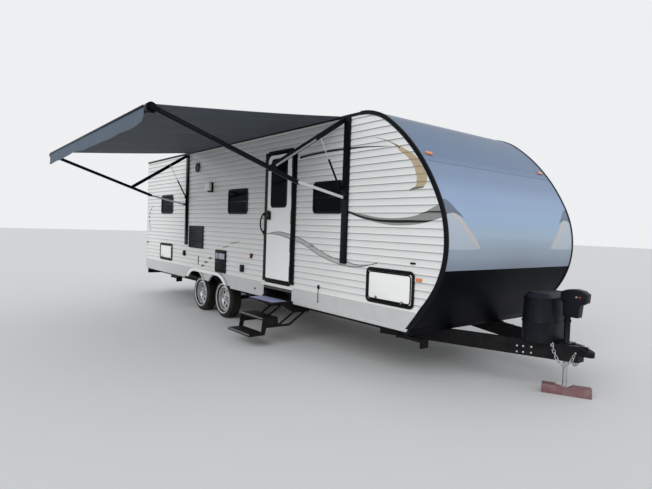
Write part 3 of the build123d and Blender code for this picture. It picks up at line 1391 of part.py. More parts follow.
FABRIC_X0 = ROLLER_X0 + ROLLER_HEAD + FABRIC_END_GAP
FABRIC_X1 = ROLLER_X1 - ROLLER_HEAD - FABRIC_END_GAP
with BuildPart() as awning_fabric:
    with BuildSketch(Plane.YZ.offset(FABRIC_X0)):
        with BuildLine():
            rail = (-BODY_HALF - TRIM_PROUD - SEAT_GAP, FABRIC_RAIL_Z)
            edge = (ROLLER[0], ROLLER[1] + ROLLER_RADIUS + SEAT_GAP)
            Polyline(
                rail,
                edge,
                (edge[0], edge[1] + FABRIC_THICKNESS),
                (rail[0], rail[1] + FABRIC_THICKNESS),
                close=True,
            )
        make_face()
    extrude(amount=FABRIC_X1 - FABRIC_X0)
finish(awning_fabric, "awning_fabric")

with BuildPart() as awning_valance:
    outer_y = ROLLER[0] - ROLLER_RADIUS - SEAT_GAP
    block(
        FABRIC_X0,
        FABRIC_X1,
        outer_y - FABRIC_THICKNESS,
        outer_y,
        ROLLER[1] - VALANCE_DROP,
        ROLLER[1] + ROLLER_RADIUS / 2,
    )
finish(awning_valance, "awning_valance")

# Gas bottle cover: two shells meeting at a belt lip, with a sloped lid, open underneath
with BuildPart() as gas_cover:
    for hollow in (False, True):
        for foot_z, top_z, outer_inset, inner_inset, taper in COVER_LAYERS:
            inset = inner_inset if hollow else outer_inset
            is_lid = top_z == COVER_LAYERS[-1][1]
            layer_top_z = top_z - COVER_SHEET if hollow and is_lid else top_z
            with BuildSketch(Plane.XY.offset(foot_z)):
                with Locations(((COVER_REAR_X + COVER_FRONT_X) / 2, 0)):
                    RectangleRounded(
                        COVER_FRONT_X - COVER_REAR_X - 2 * inset,
                        2 * (COVER_HALF - inset),
                        COVER_CORNER - inset,
                    )
            mode = Mode.SUBTRACT if hollow else Mode.ADD
            extrude(amount=layer_top_z - foot_z, taper=taper, mode=mode)
finish(gas_cover, "gas_cover")

# Roof fittings: air conditioner shroud and two vents
with BuildPart() as roof_fittings:
    for x, y, length, width, height, corner, draft in ROOF_FITTINGS:
        with BuildSketch(Plane.XY.offset(ROOF_Z)):
            with Locations((x, y)):
                RectangleRounded(length, width, corner)
        extrude(amount=height, taper=draft)
finish(roof_fittings, "roof_fittings")

# Lamps: amber at the front, red at the rear
with BuildPart() as lamps_amber:
    for side in (RIGHT, LEFT):
        x0, z0, x1, z1 = SIDE_MARKER_FRONT
        block(x0, x1, side * BODY_HALF, side * (BODY_HALF + LAMP_PROUD), z0, z1)
        lamp_y, lamp_slope, lamp_width, lamp_height = CAP_LAMP
        lamp_x, lamp_z, _ = nose_point(0, lamp_slope)
        cap_plane = Plane(
            (lamp_x, side * lamp_y, lamp_z),
            x_dir=(0, 1, 0),
            z_dir=(sin(radians(lamp_slope)), 0, cos(radians(lamp_slope))),
        )
        with BuildSketch(cap_plane):
            SlotOverall(lamp_width, lamp_height)
        extrude(amount=LAMP_PROUD)
finish(lamps_amber, "lamps_amber")

with BuildPart() as lamps_red:
    for side in (RIGHT, LEFT):
        x0, z0, x1, z1 = SIDE_MARKER_REAR
        block(x0, x1, side * BODY_HALF, side * (BODY_HALF + LAMP_PROUD), z0, z1)
        y0, z0, y1, z1 = TAIL_LAMP
        block(REAR_X - TAIL_LAMP_PROUD, REAR_X, side * y0, side * y1, z0, z1)
    half_width, z0, z1 = BACK_LAMP
    for lamp_y in BACK_LAMP_YS:
        block(REAR_X - LAMP_PROUD, REAR_X, lamp_y - half_width, lamp_y + half_width, z0, z1)
finish(lamps_red, "lamps_red")
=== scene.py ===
# %% [markdown]
# A towed travel caravan stands parked on its wheels and its tongue jack, with the awning out.
# The construction comes in ready made, as named pieces in metres. This lesson dresses it: every
# surface gets its finish, and the pieces whose look needs more than plain solids are modelled here.

# %% Bring in the frame
from math import atan2, cos, pi, radians, sin, tan
import bpy
from mathutils import Matrix, Vector


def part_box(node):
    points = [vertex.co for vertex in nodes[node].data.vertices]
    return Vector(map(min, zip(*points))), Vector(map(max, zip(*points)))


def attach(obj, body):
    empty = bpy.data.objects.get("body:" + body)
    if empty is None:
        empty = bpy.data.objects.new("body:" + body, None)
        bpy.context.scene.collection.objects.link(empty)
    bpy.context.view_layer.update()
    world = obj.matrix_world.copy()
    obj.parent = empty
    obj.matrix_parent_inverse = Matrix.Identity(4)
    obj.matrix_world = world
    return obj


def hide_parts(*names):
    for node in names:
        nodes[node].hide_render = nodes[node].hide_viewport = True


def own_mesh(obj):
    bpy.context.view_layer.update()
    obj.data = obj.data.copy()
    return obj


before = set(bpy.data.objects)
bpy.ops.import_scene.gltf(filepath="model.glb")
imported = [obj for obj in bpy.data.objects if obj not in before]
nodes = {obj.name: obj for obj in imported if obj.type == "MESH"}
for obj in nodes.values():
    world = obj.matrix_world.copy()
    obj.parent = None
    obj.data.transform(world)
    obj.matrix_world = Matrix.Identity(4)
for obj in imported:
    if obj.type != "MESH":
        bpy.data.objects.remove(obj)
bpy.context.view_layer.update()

# %% [markdown]
# A camera is set by where it stands, which way it looks and how wide it sees. These numbers came
# from matching known corners of the body, so the picture has the same view as the photograph.
# The turns are multiplied in order: the heading about the upright, the tilt, then the roll.

# %% Camera
CAMERA_PLACE = (2.332, -4.960, 1.5815)
CAMERA_HEADING = 141.63
CAMERA_TILT = -1.976
CAMERA_ROLL = 1.950
CAMERA_LENS = 27.455

camera_data = bpy.data.cameras.new("camera")
camera_data.lens = CAMERA_LENS
camera_data.sensor_width = 36.0
camera_data.clip_end = 400.0
camera = bpy.data.objects.new("camera", camera_data)
bpy.context.scene.collection.objects.link(camera)
camera.matrix_world = (
    Matrix.Translation(CAMERA_PLACE)
    @ Matrix.Rotation(radians(CAMERA_HEADING - 90.0), 4, "Z")
    @ Matrix.Rotation(radians(90.0 + CAMERA_TILT), 4, "X")
    @ Matrix.Rotation(radians(CAMERA_ROLL), 4, "Z")
)
bpy.context.scene.camera = camera
bpy.context.scene.view_settings.view_transform = "Standard"
print("Camera at", CAMERA_PLACE)

# %% [markdown]
# Soft light makes a big white object readable: a pale world lights every side, and one wide sun
# from the door side gives the boards and trims their shading. What the camera and the glossy
# surfaces see of the world is set apart from what lights the object, through the Light Path node.

# %% World and sun
WORLD_LIGHT = 0.62
WORLD_SEEN = 0.88
SUN_STRENGTH = 1.35
SUN_SOFTNESS = 50.0
SUN_TILT = 58.0
SUN_HEADING = 22.0

world = bpy.data.worlds.new("studio")
world.use_nodes = True
bpy.context.scene.world = world
sky = world.node_tree
background = sky.nodes["Background"]
background.inputs["Color"].default_value = (0.97, 0.985, 1.0, 1.0)
seen = sky.nodes.new("ShaderNodeLightPath")
shown = seen.outputs["Is Camera Ray"]
for ray in ("Is Glossy Ray", "Is Transmission Ray"):
    larger = sky.nodes.new("ShaderNodeMath")
    larger.operation = "MAXIMUM"
    sky.links.new(shown, larger.inputs[0])
    sky.links.new(seen.outputs[ray], larger.inputs[1])
    shown = larger.outputs[0]
level = sky.nodes.new("ShaderNodeMapRange")
level.inputs["To Min"].default_value = WORLD_LIGHT
level.inputs["To Max"].default_value = WORLD_SEEN
sky.links.new(shown, level.inputs["Value"])
sky.links.new(level.outputs["Result"], background.inputs["Strength"])

sun_data = bpy.data.lights.new("sun", "SUN")
sun_data.energy = SUN_STRENGTH
sun_data.angle = radians(SUN_SOFTNESS)
sun = bpy.data.objects.new("sun", sun_data)
sun.rotation_euler = (radians(SUN_TILT), 0.0, radians(SUN_HEADING))
bpy.context.scene.collection.objects.link(sun)
print("World", WORLD_LIGHT, "sun", SUN_STRENGTH)

# %% [markdown]
# Everything that is modelled here follows the same few hand moves: add a primitive, go into edit
# mode, pick faces or points by where they are, and shape them. These helpers hold those moves.
# A piece is always left with its object at the origin and its place in its mesh.

# %% Picking and settling
def rest():
    """Leave edit mode and select nothing."""
    if bpy.context.object and bpy.context.object.mode != "OBJECT":
        bpy.ops.object.mode_set(mode="OBJECT")
    bpy.ops.object.select_all(action="DESELECT")


def hold(piece):
    """Select one piece alone and make it the active one."""
    rest()
    piece.select_set(True)
    bpy.context.view_layer.objects.active = piece
    return piece


def settle(piece):
    """Put a piece's place, turn and size into its mesh."""
    hold(piece)
    bpy.ops.object.transform_apply(location=True, rotation=True, scale=True)
    return piece


def edit(piece, kind="FACE", test=None):
    """Enter edit mode with the faces, edges or points selected that pass the test, or with all."""
    hold(piece)
    bpy.ops.object.mode_set(mode="EDIT")
    bpy.ops.mesh.select_mode(type=kind)
    bpy.ops.mesh.select_all(action="SELECT" if test is None else "DESELECT")
    if test is None:
        return piece
    bpy.ops.object.mode_set(mode="OBJECT")
    mesh = piece.data
    if kind == "FACE":
        for face in mesh.polygons:
            face.select = bool(test(face.center, face.normal))
    elif kind == "VERT":
        for vertex in mesh.vertices:
            vertex.select = bool(test(vertex.co))
    else:
        for line in mesh.edges:
            a, b = (mesh.vertices[i].co for i in line.vertices)
            line.select = bool(test(a, b))
    bpy.ops.object.mode_set(mode="EDIT")
    return piece


def slide(step):
    """Move what is selected in edit mode."""
    bpy.ops.transform.translate(value=step)


def pull(step):
    """Extrude what is selected in edit mode by a step."""
    bpy.ops.mesh.extrude_region_move(TRANSFORM_OT_translate={"value": step})


def close_up(piece):
    """Merge doubles, turn all faces outwards and go back to object mode."""
    edit(piece)
    bpy.ops.mesh.remove_doubles(threshold=0.00002)
    bpy.ops.mesh.normals_make_consistent(inside=False)
    rest()
    return piece


print("Helpers ready")

# %% [markdown]
# Few starts cover most pieces: a box between two corners, a chain of edges through points, a prism
# made by filling such a chain and pulling it out, an outline turned about an axle, a rod, and a
# fine grid bent by a rule. Boolean modifiers then cut one with another.

# %% Starts and cuts
def block(name, low, high, bevel=0.0, segments=2):
    """A box between two corners, with its edges rounded."""
    rest()
    middle = [(a + b) / 2 for a, b in zip(low, high)]
    bpy.ops.mesh.primitive_cube_add(size=1.0, location=middle)
    piece = bpy.context.object
    piece.name = name
    piece.scale = [b - a for a, b in zip(low, high)]
    settle(piece)
    if bevel:
        soften(piece, bevel, segments)
    return piece


def soften(piece, width, segments=2, angle=30.0):
    """Round the sharp edges of a piece with an applied bevel."""
    hold(piece)
    rounding = piece.modifiers.new("rounding", "BEVEL")
    rounding.width = width
    rounding.segments = segments
    rounding.limit_method = "ANGLE"
    rounding.angle_limit = radians(angle)
    bpy.ops.object.modifier_apply(modifier=rounding.name)
    return piece


def chain(name, points):
    """A chain of edges, made by extruding one point from place to place."""
    rest()
    bpy.ops.mesh.primitive_plane_add(size=0.01, location=points[0])
    piece = bpy.context.object
    piece.name = name
    edit(piece, "VERT")
    bpy.ops.mesh.merge(type="CENTER")
    for start, end in zip(points, points[1:]):
        move = Vector(end) - Vector(start)
        bpy.ops.mesh.extrude_vertices_move(TRANSFORM_OT_translate={"value": move})
    return settle(piece)


def prism(name, points, step):
    """A closed outline, filled and pulled out by a step."""
    piece = chain(name, points)
    edit(piece, "VERT")
    bpy.ops.mesh.edge_face_add()
    pull(step)
    return close_up(piece)


def sweep(name, points, step):
    """An open chain pulled out by a step into a strip of faces."""
    piece = chain(name, points)
    edit(piece, "EDGE")
    pull(step)
    rest()
    return piece


def lathe(name, outline, centre, steps=96):
    """An outline of (radius, y) pairs turned about a level axle."""
    x, z = centre
    piece = chain(name, [(x + radius, y, z) for radius, y in outline])
    edit(piece, "EDGE")
    bpy.ops.mesh.spin(steps=steps, angle=2 * pi, center=(x, 0.0, z), axis=(0.0, 1.0, 0.0))
    return close_up(piece)


def rod(name, radius, depth, place, vertices=28, turn=(pi / 2, 0.0, 0.0)):
    """A round or many-sided rod, lying across the caravan unless it is turned."""
    rest()
    bpy.ops.mesh.primitive_cylinder_add(
        vertices=vertices, radius=radius, depth=depth, location=place, rotation=turn
    )
    piece = settle(bpy.context.object)
    piece.name = name
    return piece


def dish(piece, test, inset, step):
    """Inset the faces that pass the test and move them by a step."""
    edit(piece, "FACE", test)
    bpy.ops.mesh.inset(thickness=inset)
    pull(step)
    rest()
    return piece


def carve(piece, tool, operation="DIFFERENCE"):
    """Cut a piece with another, or keep what both share; the tool is used up."""
    hold(piece)
    cut = piece.modifiers.new("cut", "BOOLEAN")
    cut.operation = operation
    cut.solver = "EXACT"
    cut.object = tool
    bpy.ops.object.modifier_apply(modifier=cut.name)
    bpy.data.objects.remove(tool, do_unlink=True)
    return piece


def thicken(piece, thick):
    """Give a sheet of faces its thickness, half to each side."""
    hold(piece)
    skin = piece.modifiers.new("skin", "SOLIDIFY")
    skin.thickness = thick
    skin.offset = 0.0
    bpy.ops.object.modifier_apply(modifier=skin.name)
    return close_up(piece)


def grid(name, across, along, thick, place):
    """A sheet whose points go where a rule puts their shares across and along."""
    rest()
    bpy.ops.mesh.primitive_grid_add(x_subdivisions=across, y_subdivisions=along, size=1.0)
    piece = bpy.context.object
    piece.name = name
    for vertex in piece.data.vertices:
        vertex.co = place(vertex.co.x + 0.5, vertex.co.y + 0.5)
    return thicken(piece, thick)


def join(name, pieces):
    """Several meshes made one."""
    rest()
    for piece in pieces:
        piece.select_set(True)
    bpy.context.view_layer.objects.active = pieces[0]
    if len(pieces) > 1:
        bpy.ops.object.join()
    joined = bpy.context.view_layer.objects.active
    joined.name = name
    return settle(joined)


def dress(piece, material, body="root", slot=None, angle=35.0):
    """Give a finished piece its material, its smoothing and the body it rides on."""
    hold(piece)
    bpy.ops.object.shade_smooth_by_angle(angle=radians(angle))
    piece.data.materials.clear()
    piece.data.materials.append(material)
    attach(piece, body)
    return piece


def finished(piece, width, material, body="root", slot="trim_black", segments=2):
    """Round a piece's edges, if it has any to round, and dress it."""
    if width:
        soften(piece, width, segments)
    return dress(piece, material, body, slot)


def copy_of_node(node, name):
    """A merged copy of a construction piece, ready to be shaped."""
    copy = nodes[node].copy()
    copy.data = nodes[node].data.copy()
    for key in list(copy.keys()):
        del copy[key]
    copy.parent = None
    copy.name = name
    bpy.context.scene.collection.objects.link(copy)
    edit(copy, "VERT")
    bpy.ops.mesh.remove_doubles(threshold=0.00002)
    bpy.ops.mesh.customdata_custom_splitnormals_clear()
    bpy.ops.mesh.dissolve_limited(angle_limit=radians(0.5))
    rest()
    return copy


print("Starts and cuts ready")

# %% [markdown]
# No painted sheet is one flat colour. The grain group varies the colour and the gloss a little and
# gives a fine height for the bump. It is built once and placed in every material with other values.

# %% Group: grain of a finish
def plug_in(group, name, kind, value=None, output=False):
    """Add a named socket to a node group."""
    way = "OUTPUT" if output else "INPUT"
    socket = group.interface.new_socket(name=name, in_out=way, socket_type=kind)
    if value is not None:
        socket.default_value = value
    return socket


def math_node(tree, operation, a, b):
    """A Math node fed by sockets or numbers."""
    made = tree.nodes.new("ShaderNodeMath")
    made.operation = operation
    for place, value in enumerate((a, b)):
        if isinstance(value, (int, float)):
            made.inputs[place].default_value = value
        else:
            tree.links.new(value, made.inputs[place])
    return made.outputs[0]


def noise_node(tree, vector, scale, detail=4.0, rough=0.55):
    """A Noise node on a vector, with a scale that is a number or a socket."""
    made = tree.nodes.new("ShaderNodeTexNoise")
    made.inputs["Detail"].default_value = detail
    made.inputs["Roughness"].default_value = rough
    if isinstance(scale, (int, float)):
        made.inputs["Scale"].default_value = scale
    else:
        tree.links.new(scale, made.inputs["Scale"])
    tree.links.new(vector, made.inputs["Vector"])
    return made.outputs["Fac"]


grain = bpy.data.node_groups.new("grain", "ShaderNodeTree")
for socket_name, kind, value in (
    ("Colour", "NodeSocketColor", (0.8, 0.8, 0.8, 1.0)),
    ("Shade", "NodeSocketFloat", 0.05),
    ("Scale", "NodeSocketFloat", 4.0),
    ("Rough", "NodeSocketFloat", 0.5),
    ("Spread", "NodeSocketFloat", 0.1),
    ("Fine", "NodeSocketFloat", 300.0),
):
    plug_in(grain, socket_name, kind, value)
for socket_name, kind in (
    ("Colour", "NodeSocketColor"),
    ("Roughness", "NodeSocketFloat"),
    ("Height", "NodeSocketFloat"),
):
    plug_in(grain, socket_name, kind, output=True)
taken = grain.nodes.new("NodeGroupInput")
given = grain.nodes.new("NodeGroupOutput")
place = grain.nodes.new("ShaderNodeTexCoord").outputs["Object"]
broad = noise_node(grain, place, taken.outputs["Scale"])
fine = noise_node(grain, place, taken.outputs["Fine"], 2.0)
tone = grain.nodes.new("ShaderNodeHueSaturation")
swing = math_node(grain, "SUBTRACT", broad, 0.5)
lift = math_node(grain, "MULTIPLY", math_node(grain, "MULTIPLY", swing, 2.0), taken.outputs["Shade"])
grain.links.new(math_node(grain, "ADD", lift, 1.0), tone.inputs["Value"])
grain.links.new(taken.outputs["Colour"], tone.inputs["Color"])
grain.links.new(tone.outputs["Color"], given.inputs["Colour"])
gloss = math_node(grain, "MULTIPLY", swing, taken.outputs["Spread"])
grain.links.new(math_node(grain, "ADD", gloss, taken.outputs["Rough"]), given.inputs["Roughness"])
grain.links.new(fine, given.inputs["Height"])
print("Group:", grain.name)

# %% [markdown]
# Road dust gathers low down and thins out upwards. The dust group reads the height of each place,
# breaks it up with noise, and mixes the dust's colour over the clean one.

# %% Group: road dust
dust = bpy.data.node_groups.new("dust", "ShaderNodeTree")
for socket_name, kind, value in (
    ("Clean", "NodeSocketColor", (0.8, 0.8, 0.8, 1.0)),
    ("Dust", "NodeSocketColor", (0.30, 0.27, 0.23, 1.0)),
    ("Amount", "NodeSocketFloat", 0.5),
    ("Top", "NodeSocketFloat", 1.2),
):
    plug_in(dust, socket_name, kind, value)
plug_in(dust, "Colour", "NodeSocketColor", output=True)
plug_in(dust, "Mask", "NodeSocketFloat", output=True)
taken = dust.nodes.new("NodeGroupInput")
given = dust.nodes.new("NodeGroupOutput")
place = dust.nodes.new("ShaderNodeTexCoord").outputs["Object"]
split = dust.nodes.new("ShaderNodeSeparateXYZ")
dust.links.new(place, split.inputs[0])
fall = dust.nodes.new("ShaderNodeMapRange")
dust.links.new(split.outputs["Z"], fall.inputs["Value"])
dust.links.new(taken.outputs["Top"], fall.inputs["From Max"])
fall.inputs["To Min"].default_value = 1.0
fall.inputs["To Max"].default_value = 0.0
speckle = noise_node(dust, place, 9.0, 8.0, 0.65)
patches = dust.nodes.new("ShaderNodeMapRange")
patches.inputs["From Min"].default_value = 0.35
patches.inputs["From Max"].default_value = 0.7
dust.links.new(speckle, patches.inputs["Value"])
mask = math_node(dust, "MULTIPLY", fall.outputs["Result"], patches.outputs["Result"])
mask = math_node(dust, "MULTIPLY", mask, taken.outputs["Amount"])
blend = dust.nodes.new("ShaderNodeMix")
blend.data_type = "RGBA"
dust.links.new(mask, blend.inputs["Factor"])
dust.links.new(taken.outputs["Clean"], blend.inputs[6])
dust.links.new(taken.outputs["Dust"], blend.inputs[7])
dust.links.new(blend.outputs[2], given.inputs["Colour"])
dust.links.new(mask, given.inputs["Mask"])
print("Group:", dust.name)

# %% [markdown]
# One function makes a finish from its colour, gloss, grain and dust. Values that are the same all
# over the surface are written on the shader itself, and only what varies comes through nodes.

# %% A finish
def group_in(tree, group, **values):
    """Place a node group in a material with its own values."""
    made = tree.nodes.new("ShaderNodeGroup")
    made.node_tree = group
    for name, value in values.items():
        made.inputs[name].default_value = value
    return made


def bump_by(tree, height, strength, distance):
    """Let a height show as relief on a material's shader."""
    relief = tree.nodes.new("ShaderNodeBump")
    relief.inputs["Strength"].default_value = strength
    relief.inputs["Distance"].default_value = distance
    tree.links.new(height, relief.inputs["Height"])
    tree.links.new(relief.outputs["Normal"], tree.nodes["Principled BSDF"].inputs["Normal"])


def finish(
    name, colour, rough, shade=0.05, scale=3.0, spread=0.12, fine=300.0, bump=0.05,
    metallic=0.0, coat=0.0, dusty=0.0, dust_top=1.1, mirror=0.5,
):
    """A painted, moulded or metal finish with grain and road dust."""
    material = bpy.data.materials.new(name)
    material.use_nodes = True
    tree = material.node_tree
    shader = tree.nodes["Principled BSDF"]
    shader.inputs["Metallic"].default_value = metallic
    shader.inputs["Specular IOR Level"].default_value = mirror
    shader.inputs["Coat Weight"].default_value = coat
    shader.inputs["Coat Roughness"].default_value = 0.12
    surface = group_in(
        tree, grain, Colour=(*colour, 1.0), Shade=shade, Scale=scale, Rough=rough, Spread=spread, Fine=fine
    )
    dirt = group_in(tree, dust, Amount=dusty, Top=dust_top)
    tree.links.new(surface.outputs["Colour"], dirt.inputs["Clean"])
    tree.links.new(dirt.outputs["Colour"], shader.inputs["Base Color"])
    dulled = math_node(tree, "MULTIPLY", dirt.outputs["Mask"], 0.4)
    tree.links.new(math_node(tree, "ADD", surface.outputs["Roughness"], dulled), shader.inputs["Roughness"])
    if bump:
        bump_by(tree, surface.outputs["Height"], bump, 0.0006)
    return material


def height_of(tree):
    """The height of each place of the surface."""
    split = tree.nodes.new("ShaderNodeSeparateXYZ")
    tree.links.new(tree.nodes.new("ShaderNodeTexCoord").outputs["Object"], split.inputs[0])
    return split.outputs["Z"]


def shade_by(material, share, shades, interpolation="LINEAR"):
    """Colour a finish by a ramp over a share from 0 to 1, in place of its one colour."""
    tree = material.node_tree
    surface = next(n for n in tree.nodes if n.type == "GROUP" and n.node_tree == grain)
    ramp = tree.nodes.new("ShaderNodeValToRGB")
    ramp.color_ramp.interpolation = interpolation
    while len(ramp.color_ramp.elements) < len(shades):
        ramp.color_ramp.elements.new(0.5)
    for stop, (where, colour) in zip(ramp.color_ramp.elements, shades):
        stop.position = where
        stop.color = (*colour, 1.0)
    tree.links.new(share, ramp.inputs["Fac"])
    tree.links.new(ramp.outputs["Color"], surface.inputs["Colour"])


print("Finish ready")

# %% [markdown]
# The paints and plastics of this caravan: cream white siding, a light grey skirt, a smooth door,
# blacks of several glosses for frame, trim, covers and awning, and the metals of wheels and tongue.

# %% Plain finishes
SIDING = finish(
    "siding paint", (0.78, 0.785, 0.775), 0.36, shade=0.05, scale=1.6, bump=0.03, coat=0.15, dusty=0.25
)
SKIRT = finish("skirt paint", (0.55, 0.56, 0.57), 0.38, shade=0.05, bump=0.03, coat=0.15, dusty=0.45)
DOOR = finish(
    "door paint", (0.90, 0.90, 0.895), 0.34, shade=0.03, bump=0.05, fine=160.0, coat=0.1, dusty=0.2
)
ROOF = finish("roof membrane", (0.72, 0.72, 0.70), 0.75, shade=0.10, scale=1.2, bump=0.3, fine=90.0)
FLOOR_BOARD = finish(
    "underbelly board", (0.05, 0.05, 0.052), 0.8, shade=0.2, bump=0.3, fine=120.0, dusty=0.7
)
FRAME = finish(
    "frame paint", (0.004, 0.0045, 0.006), 0.45, shade=0.25, scale=9.0, bump=0.2, dusty=0.06, dust_top=0.9,
    mirror=0.12,
)
TRIM = finish("black trim", (0.004, 0.0045, 0.006), 0.42, shade=0.2, bump=0.1, mirror=0.10)
FRONT = finish(
    "front panel", (0.0015, 0.0022, 0.0050), 0.45, shade=0.2, bump=0.35, fine=420.0, dusty=0.02, mirror=0.05
)
AWNING_BLACK = finish("awning arm paint", (0.003, 0.0035, 0.006), 0.38, shade=0.2, bump=0.1, mirror=0.10)
LINK = finish("bare bar", (0.62, 0.63, 0.65), 0.36, shade=0.1, bump=0.1, metallic=0.3)
CHANNEL = finish("arm channel", (0.016, 0.018, 0.026), 0.45, shade=0.2, bump=0.1, mirror=0.1)
RAFTER_BAR = finish(
    "weathered bar", (0.27, 0.27, 0.28), 0.45, shade=0.2, scale=12.0, bump=0.1, metallic=0.2, mirror=0.2
)
ROD = finish("ground rod", (0.62, 0.62, 0.63), 0.16, shade=0.05, metallic=1.0)
COVER = finish(
    "moulded cover", (0.004, 0.0055, 0.010), 0.40, shade=0.2, bump=0.35, fine=500.0, dusty=0.05, mirror=0.16
)
ZINC = finish("zinc", (0.46, 0.47, 0.48), 0.38, shade=0.18, scale=22.0, bump=0.2, metallic=0.9)
SPRING = finish(
    "spring steel", (0.07, 0.062, 0.055), 0.6, shade=0.35, scale=14.0, bump=0.5, metallic=0.5, dusty=0.5
)
RUBBER = finish(
    "tyre rubber", (0.009, 0.0095, 0.011), 0.66, shade=0.25, scale=12.0, bump=0.4, dusty=0.12, dust_top=0.7,
    mirror=0.2,
)
RIM = finish(
    "wheel silver", (0.62, 0.63, 0.65), 0.26, shade=0.08, bump=0.05, metallic=0.85, coat=0.3, dusty=0.3
)
STEP = finish(
    "step paint", (0.005, 0.005, 0.007), 0.5, shade=0.25, bump=0.6, fine=700.0, dusty=0.06, mirror=0.15
)
PAD = finish(
    "painted board", (0.155, 0.045, 0.066), 0.55, shade=0.25, scale=18.0, bump=0.5, fine=200.0, dusty=0.5
)
WHITE_PLASTIC = finish("white plastic", (0.74, 0.74, 0.72), 0.4, shade=0.04, bump=0.1)
print("Plain finishes:", len(bpy.data.materials))

# %% [markdown]
# Tinted glass hides the inside: it is nearly black, very smooth, and lives from what it mirrors.
# Lamp lenses are clear coloured plastic with fine upright ribs, which a wave texture gives.

# %% Glass and lenses
GLASS = finish("tinted glass", (0.004, 0.005, 0.007), 0.06, shade=0.1, spread=0.02, bump=0.0, mirror=0.015)


def lens(name, colour):
    """A ribbed lens over a reflector."""
    material = finish(name, colour, 0.18, shade=0.15, scale=40.0, bump=0.0, coat=0.8)
    tree = material.node_tree
    ribs = tree.nodes.new("ShaderNodeTexWave")
    ribs.inputs["Scale"].default_value = 60.0
    place = tree.nodes.new("ShaderNodeTexCoord").outputs["Object"]
    tree.links.new(place, ribs.inputs["Vector"])
    bump_by(tree, ribs.outputs["Fac"], 0.5, 0.001)
    return material


AMBER = lens("amber lens", (0.75, 0.20, 0.02))
RED = lens("red lens", (0.45, 0.015, 0.015))
print("Lenses ready")

# %% [markdown]
# The moulded cap is silver blue, greyer in a soft band at its foot. A colour ramp on the height
# paints that, and paints light as well: a painted sheen makes the middle lighter, and painted shade
# makes the cap darker towards the roof. Its shine is kept faint so that the colours hold.

# %% Cap paint
CAP_FOOT_Z = 1.206
CAP_TOP_Z = 2.884
# The cap's blue with painted light: a painted sheen at the middle heights and painted shade towards the
# roof.
CAP_TONE_SHEEN_AND_SHADE = (
    (0.000, (0.300, 0.355, 0.440)),
    (0.105, (0.370, 0.440, 0.530)),
    (0.160, (0.390, 0.482, 0.594)),
    (0.210, (0.420, 0.537, 0.665)),
    (0.310, (0.380, 0.510, 0.700)),
    (0.420, (0.350, 0.460, 0.655)),
    (0.585, (0.260, 0.345, 0.495)),
    (0.700, (0.188, 0.258, 0.387)),
    (0.810, (0.165, 0.235, 0.350)),
    (1.000, (0.130, 0.180, 0.270)),
)
CAP = finish("cap paint", (0.35, 0.42, 0.54), 0.30, shade=0.01, spread=0.02, bump=0.0, mirror=0.06)
tree = CAP.node_tree
height = tree.nodes.new("ShaderNodeMapRange")
height.inputs["From Min"].default_value = CAP_FOOT_Z
height.inputs["From Max"].default_value = CAP_TOP_Z
tree.links.new(height_of(tree), height.inputs["Value"])
shade_by(CAP, height.outputs["Result"], CAP_TONE_SHEEN_AND_SHADE, "EASE")
print("Cap paint has", len(CAP_TONE_SHEEN_AND_SHADE), "shades")

# %% [markdown]
# The awning's cloth is coated vinyl, whose fine weave is two crossed waves in the bump. Its top is
# silver grey, and its underside gets a second material a good deal darker, which is painted shade.

# %% Vinyl cloth
def vinyl(name, colour, mirror=0.3):
    """Coated cloth with a fine crossed weave."""
    material = finish(name, colour, 0.62, shade=0.10, scale=1.5, spread=0.1, bump=0.0, mirror=mirror)
    tree = material.node_tree
    tree.nodes["Principled BSDF"].inputs["Sheen Weight"].default_value = 0.03
    place = tree.nodes.new("ShaderNodeTexCoord").outputs["Object"]
    total = None
    for direction in ("X", "Y"):
        threads = tree.nodes.new("ShaderNodeTexWave")
        threads.bands_direction = direction
        threads.inputs["Scale"].default_value = 180.0
        tree.links.new(place, threads.inputs["Vector"])
        out = threads.outputs["Fac"]
        total = out if total is None else math_node(tree, "ADD", total, out)
    bump_by(tree, total, 0.25, 0.0005)
    return material


CLOTH_TOP = vinyl("vinyl top", (0.30, 0.34, 0.40))
# Painted shade: the underside's colour is darkened for the shade under the awning.
CLOTH_UNDER_SHADED = vinyl("vinyl underside", (0.068, 0.081, 0.099), mirror=0.05)
print("Cloth ready")

# %% [markdown]
# Construction pieces whose shape is right stay as they are and only get their finish.

# %% Finish the construction pieces
LEGS = tuple(name for name in nodes if name.startswith("stabilizer_") and name != "stabilizer_brackets")
NODE_FINISHES = (
    (SIDING, ("wall_right", "wall_left", "wall_rear")),
    (DOOR, ("baggage_door_right", "baggage_door_left", "storage_door")),
    (SKIRT, ("skirts", "fenders")),
    (CAP, ("nose_cap",)),
    (FRONT, ("nose_lower",)),
    (ROOF, ("roof", "roof_fittings")),
    (FLOOR_BOARD, ("floor",)),
    (FRAME, ("main_rails", "cross_members", "a_frame", "bumper", "stabilizer_brackets", "axles")),
    (FRAME, LEGS),
    (SPRING, ("leaf_springs",)),
    (TRIM, ("edge_trim", "window_frames", "door_frames", "side_fittings")),
    (GLASS, ("window_glass", "door_glass")),
    (DOOR, ("entry_door",)),
    (AMBER, ("lamps_amber",)),
    (RED, ("lamps_red",)),
    (RUBBER, tuple(name for name in nodes if name.startswith("tyre_"))),
    (RIM, tuple(name for name in nodes if name.startswith("rim_"))),
    (FRAME, ("coupler", "tongue_jack")),
    (ZINC, ("jack_ram",)),
    (PAD, ("jack_pad",)),
    (COVER, ("gas_cover",)),
    (STEP, ("step_housing", "step_outer_arms", "step_inner_arms", "step_treads")),
    (AWNING_BLACK, ("awning_posts", "awning_rafters", "awning_arms", "awning_struts", "awning_roller")),
    (LINK, ("awning_links",)),
    (ROD, ("awning_strut_rods",)),
    (CLOTH_TOP, ("awning_fabric", "awning_valance")),
)
